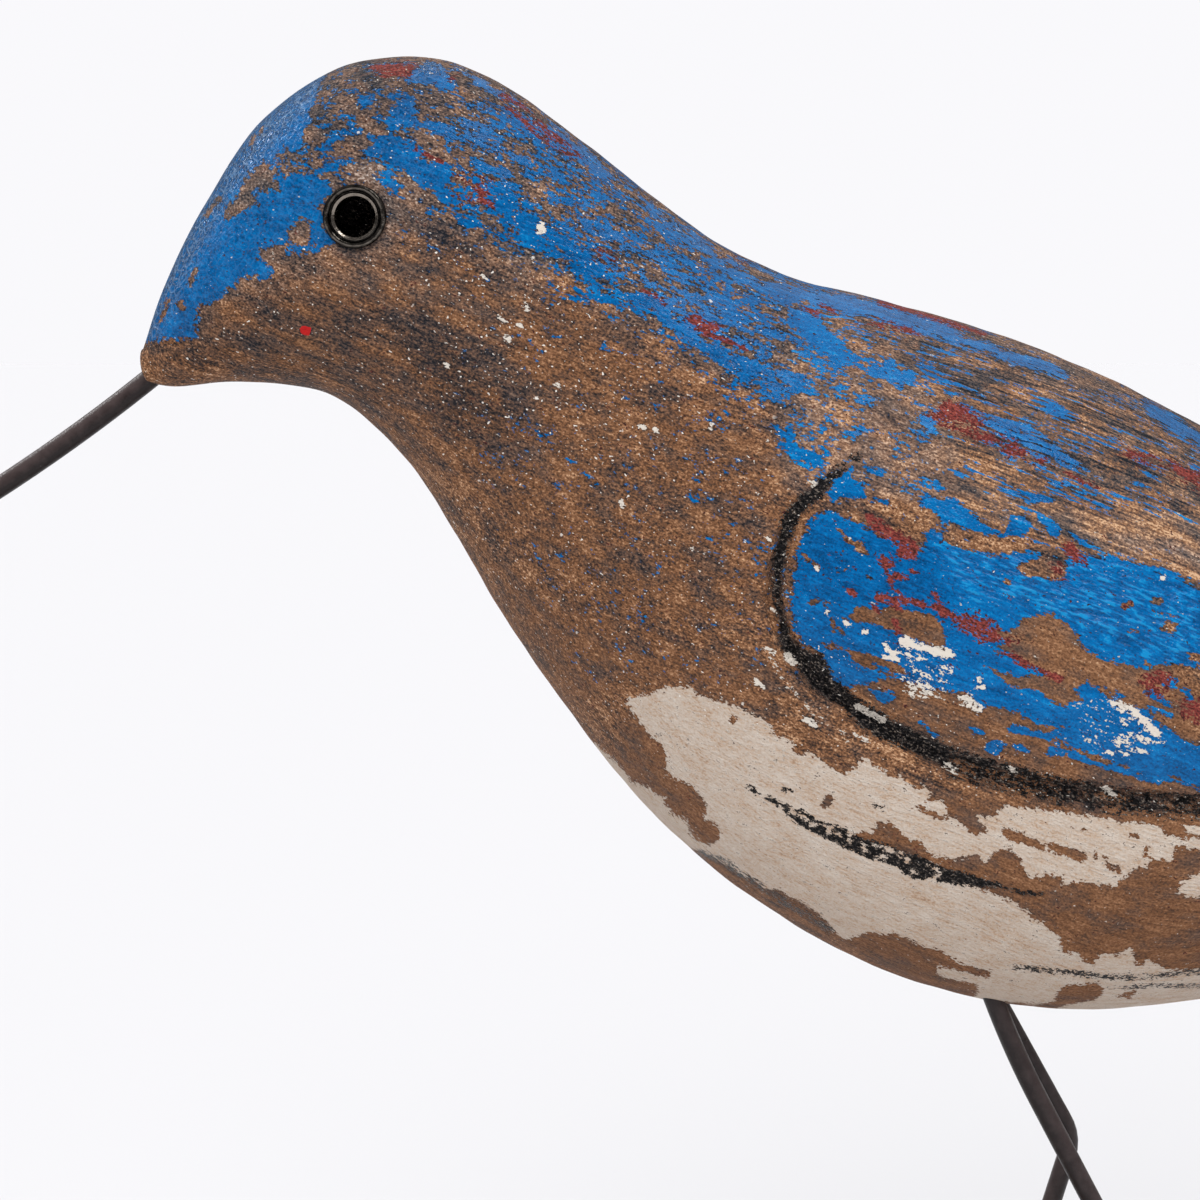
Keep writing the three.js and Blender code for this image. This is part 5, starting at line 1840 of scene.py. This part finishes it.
def is_rim(edge):
    """Whether an edge lies between a level face and an upright one."""
    level_faces = [abs(face.normal.z) > 0.9 for face in edge.link_faces]
    return len(level_faces) == 2 and any(level_faces) and not all(level_faces)


def rise(edge):
    return abs((edge.verts[0].co - edge.verts[1].co).z)


def boxed(size, corner_round, edge_round):
    """A box with its upright edges taken off round, and its rims a little."""
    made = bmesh.new()
    bmesh.ops.create_cube(made, size=1, matrix=Matrix.Diagonal((*size, 1)))
    upright = [e for e in made.edges if rise(e) > 1]
    bmesh.ops.bevel(made, geom=upright, offset=corner_round, segments=8, affect="EDGES", profile=0.5)
    rims = [e for e in made.edges if rise(e) < 1 and is_rim(e)]
    bmesh.ops.bevel(made, geom=rims, offset=edge_round, segments=4, affect="EDGES", profile=0.5)
    bmesh.ops.translate(made, verts=made.verts, vec=(0, 0, size[2] / 2))
    bmesh.ops.scale(made, verts=made.verts, vec=(MM, MM, MM))
    mesh = bpy.data.meshes.new("board")
    made.to_mesh(mesh)
    made.free()
    return mesh


board = bpy.data.objects.new("board", boxed(BLOCK_SIZE, BLOCK_CORNER, BLOCK_EDGE))
scene.collection.objects.link(board)
remesh = board.modifiers.new("even net", "REMESH")
remesh.mode = "VOXEL"
remesh.voxel_size = BLOCK_NET * MM
bpy.context.view_layer.update()
even = bpy.data.meshes.new_from_object(board.evaluated_get(bpy.context.evaluated_depsgraph_get()))
bpy.data.objects.remove(board)
block = bpy.data.objects.new("weathered_block", even)
scene.collection.objects.link(block)

at = np.array([v.co for v in even.vertices]) / MM
block_out = np.array([v.normal for v in even.vertices])
furrow = np.sin(at[:, 1] * 2.3 + 1.1 * np.sin(at[:, 0] / 19) + at[:, 2] * 1.3) * 0.5 + 0.5
furrow += 0.6 * np.sin(at[:, 1] * 5.1 + 0.8 * np.sin(at[:, 0] / 11 + 2) - at[:, 2] * 3.7) + 0.6
dents = np.maximum(slow_wave(at, 7, 0.9), 0)
not_below = 1 - np.clip(-block_out[:, 2] * 4, 0, 1)
depth = (BOARD_INSET + FURROW_DEPTH * np.maximum(furrow, 0) + DENT_DEPTH * dents) * not_below
depth = np.where(at[:, 2] < FOOT_HEIGHT, 0, depth)
worn = at - block_out * depth[:, None]
even.vertices.foreach_set("co", (worn * MM).astype(np.float32).ravel())
even.shade_smooth()
even.update()
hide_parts("base_block")
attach(block, "root")
print("block:", len(even.polygons), "faces")

# %% Old board
PITH = (0, 14, -46)  # a point of the tree's heart, in millimetres
RING = 2.4
BOARD_TONES = [
    (0.0, (0.035, 0.026, 0.022)), (0.35, (0.12, 0.08, 0.055)), (0.6, (0.23, 0.155, 0.105)),
    (1.0, (0.38, 0.29, 0.21)),
]
timber = Finish("old_board")
timber_mm = timber.in_mm()
warp = timber.ripple(timber_mm, 16, stretch=5, detail=2)
board_fibre = timber.ripple(timber_mm, 0.45, stretch=22, detail=3, shift=3)
pores = timber.ripple(timber_mm, 0.25, stretch=6, detail=2, shift=7)
stain = timber.ripple(timber_mm, 9, stretch=2.5, detail=4, shift=11)
from_pith = timber.vector("SUBTRACT", timber_mm, PITH).outputs[0]
flat_pith = timber.vector("MULTIPLY", from_pith, (0, 1, 1)).outputs[0]
pith_reach = timber.vector("LENGTH", flat_pith).outputs["Value"]
ring_place = timber.calc("DIVIDE", timber.summed(pith_reach, (warp, 1.1)), RING)
ring = timber.calc("PINGPONG", ring_place, 0.5)
board_value = timber.summed(0.3, (ring, 0.5), (board_fibre, 0.12), (pores, 0.08), (stain, 0.09))
board_relief = timber.summed(0.0, (ring, 1.2), (board_fibre, 0.35))
board_colour = timber.ramp(board_value, BOARD_TONES)
old_board = timber.finish(board_colour, 0.82, board_relief, 0.12, **{"Specular IOR Level": 0.2})
block.data.materials.append(old_board)
print("old board has", len(timber.tree.nodes), "nodes")

# %% [markdown] ## Close
